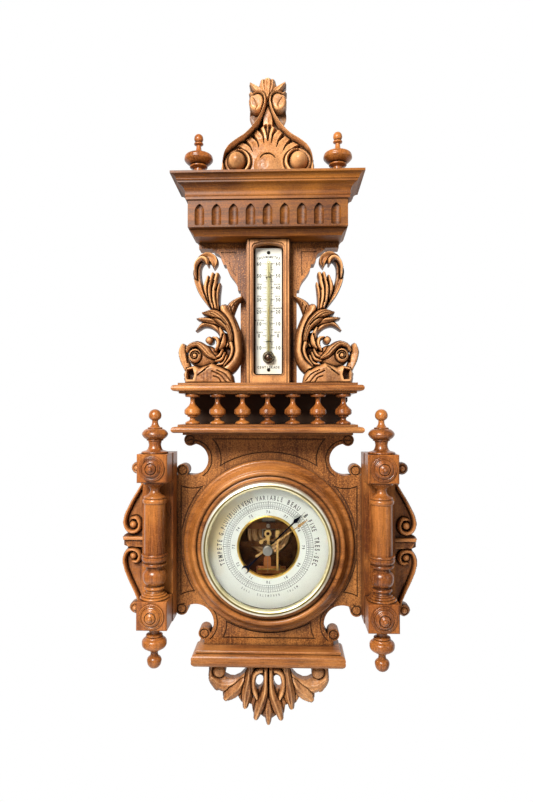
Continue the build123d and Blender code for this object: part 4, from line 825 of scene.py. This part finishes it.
def side_scroll():
    """Double scroll beside a pillar: raised rims that roll into eyes over a sunk ground."""
    r = Relief("side_scroll_left")
    ground, rim, crown = 15.0, 17.0, 23.6
    r.patch([(-149, 84), (-149, -84), (-158, -84), (-157, -70), (-160.5, -60), (-169.5, -44), (-175, -30),
             (-176.5, -17), (-171.5, -5), (-176.5, -3), (-176.5, 9), (-171, 12), (-176, 24), (-174, 36),
             (-166, 50), (-156, 68), (-157, 84)], ground, ground + 0.3, 1.0)
    r.leaf([(-151.5, 74), (-157, 64), (-163, 54), (-168.5, 43.5), (-173, 33), (-174, 23.5), (-170.5, 16),
            (-163.5, 13.8), (-157.5, 17.5), (-156.3, 24.5), (-160, 30.5), (-166, 30.5)],
           [1.5, 1.7, 1.8, 1.9, 2, 2.1, 2.3, 2.4, 2.4, 2.3, 2, 1.2], rim, crown, 2)
    r.dome(-164, 22.6, 4.4, 4.4, rim, crown, True, 2)
    r.patch([(-176, 8.6), (-149, 8.6), (-149, 4), (-175.5, 4)], 20, 23.8, 1.2, True)
    r.patch([(-175.5, 4), (-149, 4), (-149, -4.8), (-170.5, -4.8)], 18, 20.5, 1.2, True)
    r.leaf([(-164.5, -21), (-159, -21.5), (-156, -16), (-158.5, -9.8), (-165, -7.4), (-171.5, -10),
            (-174.6, -19), (-173, -30), (-168, -43), (-162.5, -54.5), (-157.5, -66), (-156, -74)],
           [1.2, 2, 2.3, 2.4, 2.3, 2.2, 2, 1.9, 1.8, 1.7, 1.7, 1.6], rim, crown, 2)
    r.dome(-163.5, -14.6, 4.4, 4.4, rim, crown, True, 2)
    for x, z in ((-159.7, 91.0), (-161.4, -77.6)):
        r.dome(x, z, 7.3, 7.3, 14, 22.5, True)
        r.dome(x, z, 3.6, 3.6, 18, 23.8, True, 3)
    return r


def carve():
    left = dolphin()
    place_relief(left, "dolphin_left")
    place_relief(left, "dolphin_right", -1)
    place_relief(crest(), "crest")
    place_relief(pendant(), "pendant")
    scroll = side_scroll()
    place_relief(scroll, "side_scroll_left", 1, "scroll")
    place_relief(scroll, "side_scroll_right", -1, "scroll")


# ---------- printing ----------

GLYPHS = {}
CAP_HEIGHT = 0.69
RING_SIDES = 144


def glyph(letter, weight):
    """A letter of the built-in font as flat triangles, one unit high: (points, faces). Weight thickens it."""
    if (letter, weight) not in GLYPHS:
        text = bpy.data.curves.new("letter", "FONT")
        text.body = letter
        text.offset = weight
        text.resolution_u = 3
        holder = placed("letter", text)
        seen = bpy.context.evaluated_depsgraph_get()
        mesh = bpy.data.meshes.new_from_object(holder.evaluated_get(seen))
        points = [(v.co.x, v.co.y) for v in mesh.vertices]
        faces = [tuple(f.vertices) for f in mesh.polygons]
        bpy.data.objects.remove(holder)
        bpy.data.meshes.remove(mesh)
        left, right = min(x for x, _ in points), max(x for x, _ in points)
        points = [(x - (left + right) / 2, y) for x, y in points]
        GLYPHS[letter, weight] = (points, faces)
    return GLYPHS[letter, weight]


class Print:
    """Ink marks on a flat scale, collected into one thin mesh."""

    def __init__(self, depth, weight=0.0):
        self.depth, self.weight = depth, weight
        self.points, self.faces = [], []

    def add(self, flat, faces):
        start = len(self.points)
        self.points += [at(x, z, self.depth) for x, z in flat]
        self.faces += [tuple(start + k for k in face) for face in faces]

    def letter(self, char, x, z, height, narrow=0.8, turn=0.0):
        points, faces = glyph(char, self.weight)
        tall = height / CAP_HEIGHT
        c, s = math.cos(turn), math.sin(turn)
        flat = []
        for px, pz in points:
            px, pz = px * tall * narrow, (pz - CAP_HEIGHT / 2) * tall
            flat.append((x + px * c + pz * s, z - px * s + pz * c))
        self.add(flat, faces)

    def word(self, text, x, z, height, pitch, narrow=0.8):
        for k, char in enumerate(text):
            if char != " ":
                self.letter(char, x + (k - (len(text) - 1) / 2) * pitch, z, height, narrow)

    def round_word(self, text, radius, middle_angle, height, pitch, narrow=0.62):
        """A word round the dial: angles are clockwise from the top, in degrees."""
        for k, char in enumerate(text):
            if char != " ":
                angle = math.radians(middle_angle + (k - (len(text) - 1) / 2) * pitch)
                self.letter(char, radius * math.sin(angle), radius * math.cos(angle), height, narrow, angle)

    def bar(self, x0, z0, x1, z1, width):
        length = math.hypot(x1 - x0, z1 - z0)
        nx, nz = -(z1 - z0) / length * width / 2, (x1 - x0) / length * width / 2
        self.add([(x0 - nx, z0 - nz), (x1 - nx, z1 - nz), (x1 + nx, z1 + nz), (x0 + nx, z0 + nz)],
                 [(0, 1, 2, 3)])

    def tick(self, angle, inner, outer, width):
        s, c = math.sin(math.radians(angle)), math.cos(math.radians(angle))
        self.bar(inner * s, inner * c, outer * s, outer * c, width)

    def ring(self, radius, width):
        count = RING_SIDES
        flat = []
        for k in range(count):
            s, c = math.sin(2 * math.pi * k / count), math.cos(2 * math.pi * k / count)
            flat += [((radius - width / 2) * s, (radius - width / 2) * c),
                     ((radius + width / 2) * s, (radius + width / 2) * c)]
        self.add(flat, [(2 * k, 2 * k + 1, (2 * k + 3) % (2 * count), (2 * k + 2) % (2 * count))
                        for k in range(count)])

    def finish(self, name, look, slot):
        mesh = bpy.data.meshes.new(name)
        mesh.from_pydata(self.points, [], self.faces)
        mesh.materials.append(looks[look])
        piece = placed(name, mesh)
        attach(piece, "case")


def print_dial():
    """Pressure scale in centimetres with the usual weather words; the middle word is rubbed pale."""
    bold, fine = Print(DIAL_FRONT + 0.05, 0.022), Print(DIAL_FRONT + 0.05, 0.008)
    words = (("TEMPETE", -97, 4.6, 0.62), ("G.PLUIE", -64, 3.7, 0.55), ("PLUIE", -43, 3.4, 0.52),
             ("VENT", -25.5, 3.9, 0.6), ("BEAU", 31.5, 4.5, 0.62), ("B.FIXE", 60, 3.9, 0.6),
             ("TRES-SEC", 95, 4.3, 0.62))
    for text, angle, pitch, narrow in words:
        bold.round_word(text, 57.6, angle, 5.4, pitch, narrow)
    fine.round_word("VARIABLE", 57.8, 1.5, 5.2, 4.2)
    for text, angle in (("BAROMETRE", 180), ("METAL", 150), ("TYPE", 208)):
        fine.round_word(text, 57.0, angle, 2.6, 3.2)
    inner, middle_ring, outer = 45.2, 47.4, 52.8
    for radius, width in ((inner, 0.3), (middle_ring, 0.22), (outer, 0.34)):
        fine.ring(radius, width)
    for k in range(120):
        major = k % 10 == 0
        fine.tick(k * 3, inner, outer + 1 if major else outer, 0.55 if major else 0.38)
        fine.tick(k * 3 + 1.5, middle_ring, middle_ring + 3, 0.26)
    number_radius = 41.2
    for k in range(12):
        angle = -180 + 30 * k
        value = str(70 + k)
        for char, step in zip(value, (-1.9, 1.9)):
            place = math.radians(angle + step)
            bold.letter(char, number_radius * math.sin(place), number_radius * math.cos(place), 3.1, 0.8,
                        math.radians(angle))
    bold.finish("dial_words", "ink", "dial_enamel")
    fine.finish("dial_scale", "pale_ink", "dial_enamel")


def arched_word(marks, text, z, rise, height, pitch, narrow):
    """A word across the thermometer plate whose middle stands a little higher than its ends."""
    half = (len(text) - 1) / 2
    for k, char in enumerate(text):
        share = (k - half) / half
        marks.letter(char, share * half * pitch, z - rise * share * share, height, narrow, share * 0.35)


def print_thermometer():
    """Centigrade scale on both sides of the tube."""
    marks = Print(PLATE_FRONT + 0.2, 0.034)
    sixty, step, tick_start = 337.5, 14.5, 2.6
    arched_word(marks, "THERMOMETRE", 345.8, 2.0, 2.8, 2.6, 0.75)
    marks.word("CENTIGRADE", 0, 212.5, 2.8, 2.75, 0.75)
    for k in range(8):
        z = sixty - k * step
        value = str(abs(60 - 10 * k))
        for side in (-1, 1):
            marks.word(value, side * 11.4, z, 4.0, 3.2, 0.85)
            marks.bar(side * tick_start, z, side * 7.6, z, 0.75)
            for tenth in range(1, 10):
                low = z - tenth * step / 10
                if k < 7 and tenth % 5 == 0:
                    marks.bar(side * tick_start, low, side * 6.6, low, 0.6)
                elif k < 7 and tenth % 2:
                    marks.bar(side * tick_start, low, side * 4.6, low, 0.3)
    for text, k, side in (("SEVE", 2, -1), ("BAINS", 2, 1), ("VERS", 3, -1), ("SOIE", 3, 1), ("SERRE", 4, -1),
                          ("ORANGER", 4, 1), ("RIVIERE", 5, -1), ("GLACE", 6, -1), ("GELEE", 6, 1)):
        marks.word(text, side * 10.6, sixty - k * step + 4.2, 1.9, 1.55, 0.78)
    marks.finish("thermometer_scale_print", "ink", "scale_enamel")


# ---------- camera, light and stage ----------

SENSOR, LENS = 36.0, 27.202  # mm, for a view 67 degrees tall
TILT_UP, TURN_LEFT = 1.04, 2.03
FLOOR_RADIUS, SCREEN_HALF, SCREEN_BEHIND = 1.1, 4.0, 1.2


def camera():
    lens = bpy.data.cameras.new("camera")
    lens.sensor_fit = "VERTICAL"
    lens.sensor_height = SENSOR
    lens.lens = LENS
    eye = placed("camera", lens)
    eye.location = at(23.3, 158.8, 750.0)
    eye.rotation_euler = (math.radians(90 + TILT_UP), 0, math.radians(TURN_LEFT))
    bpy.context.scene.camera = eye


def lamp(name, where, aim, size, power, colour=(1, 1, 1)):
    """A rectangular area lamp turned towards a point."""
    light = bpy.data.lights.new(name, "AREA")
    light.shape = "RECTANGLE"
    light.size, light.size_y = size
    light.energy = power
    light.color = colour
    holder = placed(name, light)
    holder.location = where
    holder.rotation_euler = (Vector(aim) - Vector(where)).to_track_quat("-Z", "Y").to_euler()


def lights():
    centre = at(0, 120, 30)
    lamp("key", at(-430, 800, 1020), centre, (0.45, 0.45), 35.0, (1.0, 0.97, 0.92))
    lamp("window", at(950, 300, 750), centre, (0.4, 1.0), 2.4, (0.95, 0.98, 1.0))
    lamp("low", at(-500, -600, 900), centre, (0.7, 0.5), 2.2)

    world = bpy.data.worlds.new("room")
    world.use_nodes = True
    glow = world.node_tree.nodes["Background"]
    glow.inputs[0].default_value = (1.0, 1.0, 1.0, 1.0)
    glow.inputs[1].default_value = 0.18
    bpy.context.scene.world = world
    bpy.context.scene.view_settings.view_transform = "Standard"


def floor():
    """A round pale floor below and in front of the barometer."""
    mesh = bpy.data.meshes.new("floor")
    shape = bmesh.new()
    bmesh.ops.create_circle(shape, cap_ends=True, segments=96, radius=FLOOR_RADIUS)
    shape.to_mesh(mesh)
    shape.free()
    disc = placed("floor", mesh)
    disc.location = at(0, -620, 650)
    n = Nodes("floor")
    n.set("Base Color", (0.86, 0.86, 0.85, 1))
    n.set("Roughness", 0.8)
    mesh.materials.append(n.material)


def backdrop():
    """A white screen behind the barometer, seen from the front only."""
    mesh = bpy.data.meshes.new("backdrop")
    signs = ((-1, -1), (1, -1), (1, 1), (-1, 1))
    corners = [(x * SCREEN_HALF, SCREEN_BEHIND, z * SCREEN_HALF) for x, z in signs]
    mesh.from_pydata(corners, [], [(0, 1, 2, 3)])
    material = bpy.data.materials.new("backdrop")
    material.use_nodes = True
    tree = material.node_tree
    tree.nodes.clear()
    kinds = ("Emission", "BsdfTransparent", "NewGeometry", "MixShader", "OutputMaterial")
    white, clear, facing, either, result = [tree.nodes.new("ShaderNode" + kind) for kind in kinds]
    tree.links.new(facing.outputs["Backfacing"], either.inputs[0])
    tree.links.new(white.outputs[0], either.inputs[1])
    tree.links.new(clear.outputs[0], either.inputs[2])
    tree.links.new(either.outputs[0], result.inputs["Surface"])
    mesh.materials.append(material)
    placed("backdrop", mesh)


camera()
lights()
floor()
backdrop()
dress_frame()
carve()
print_dial()
print_thermometer()
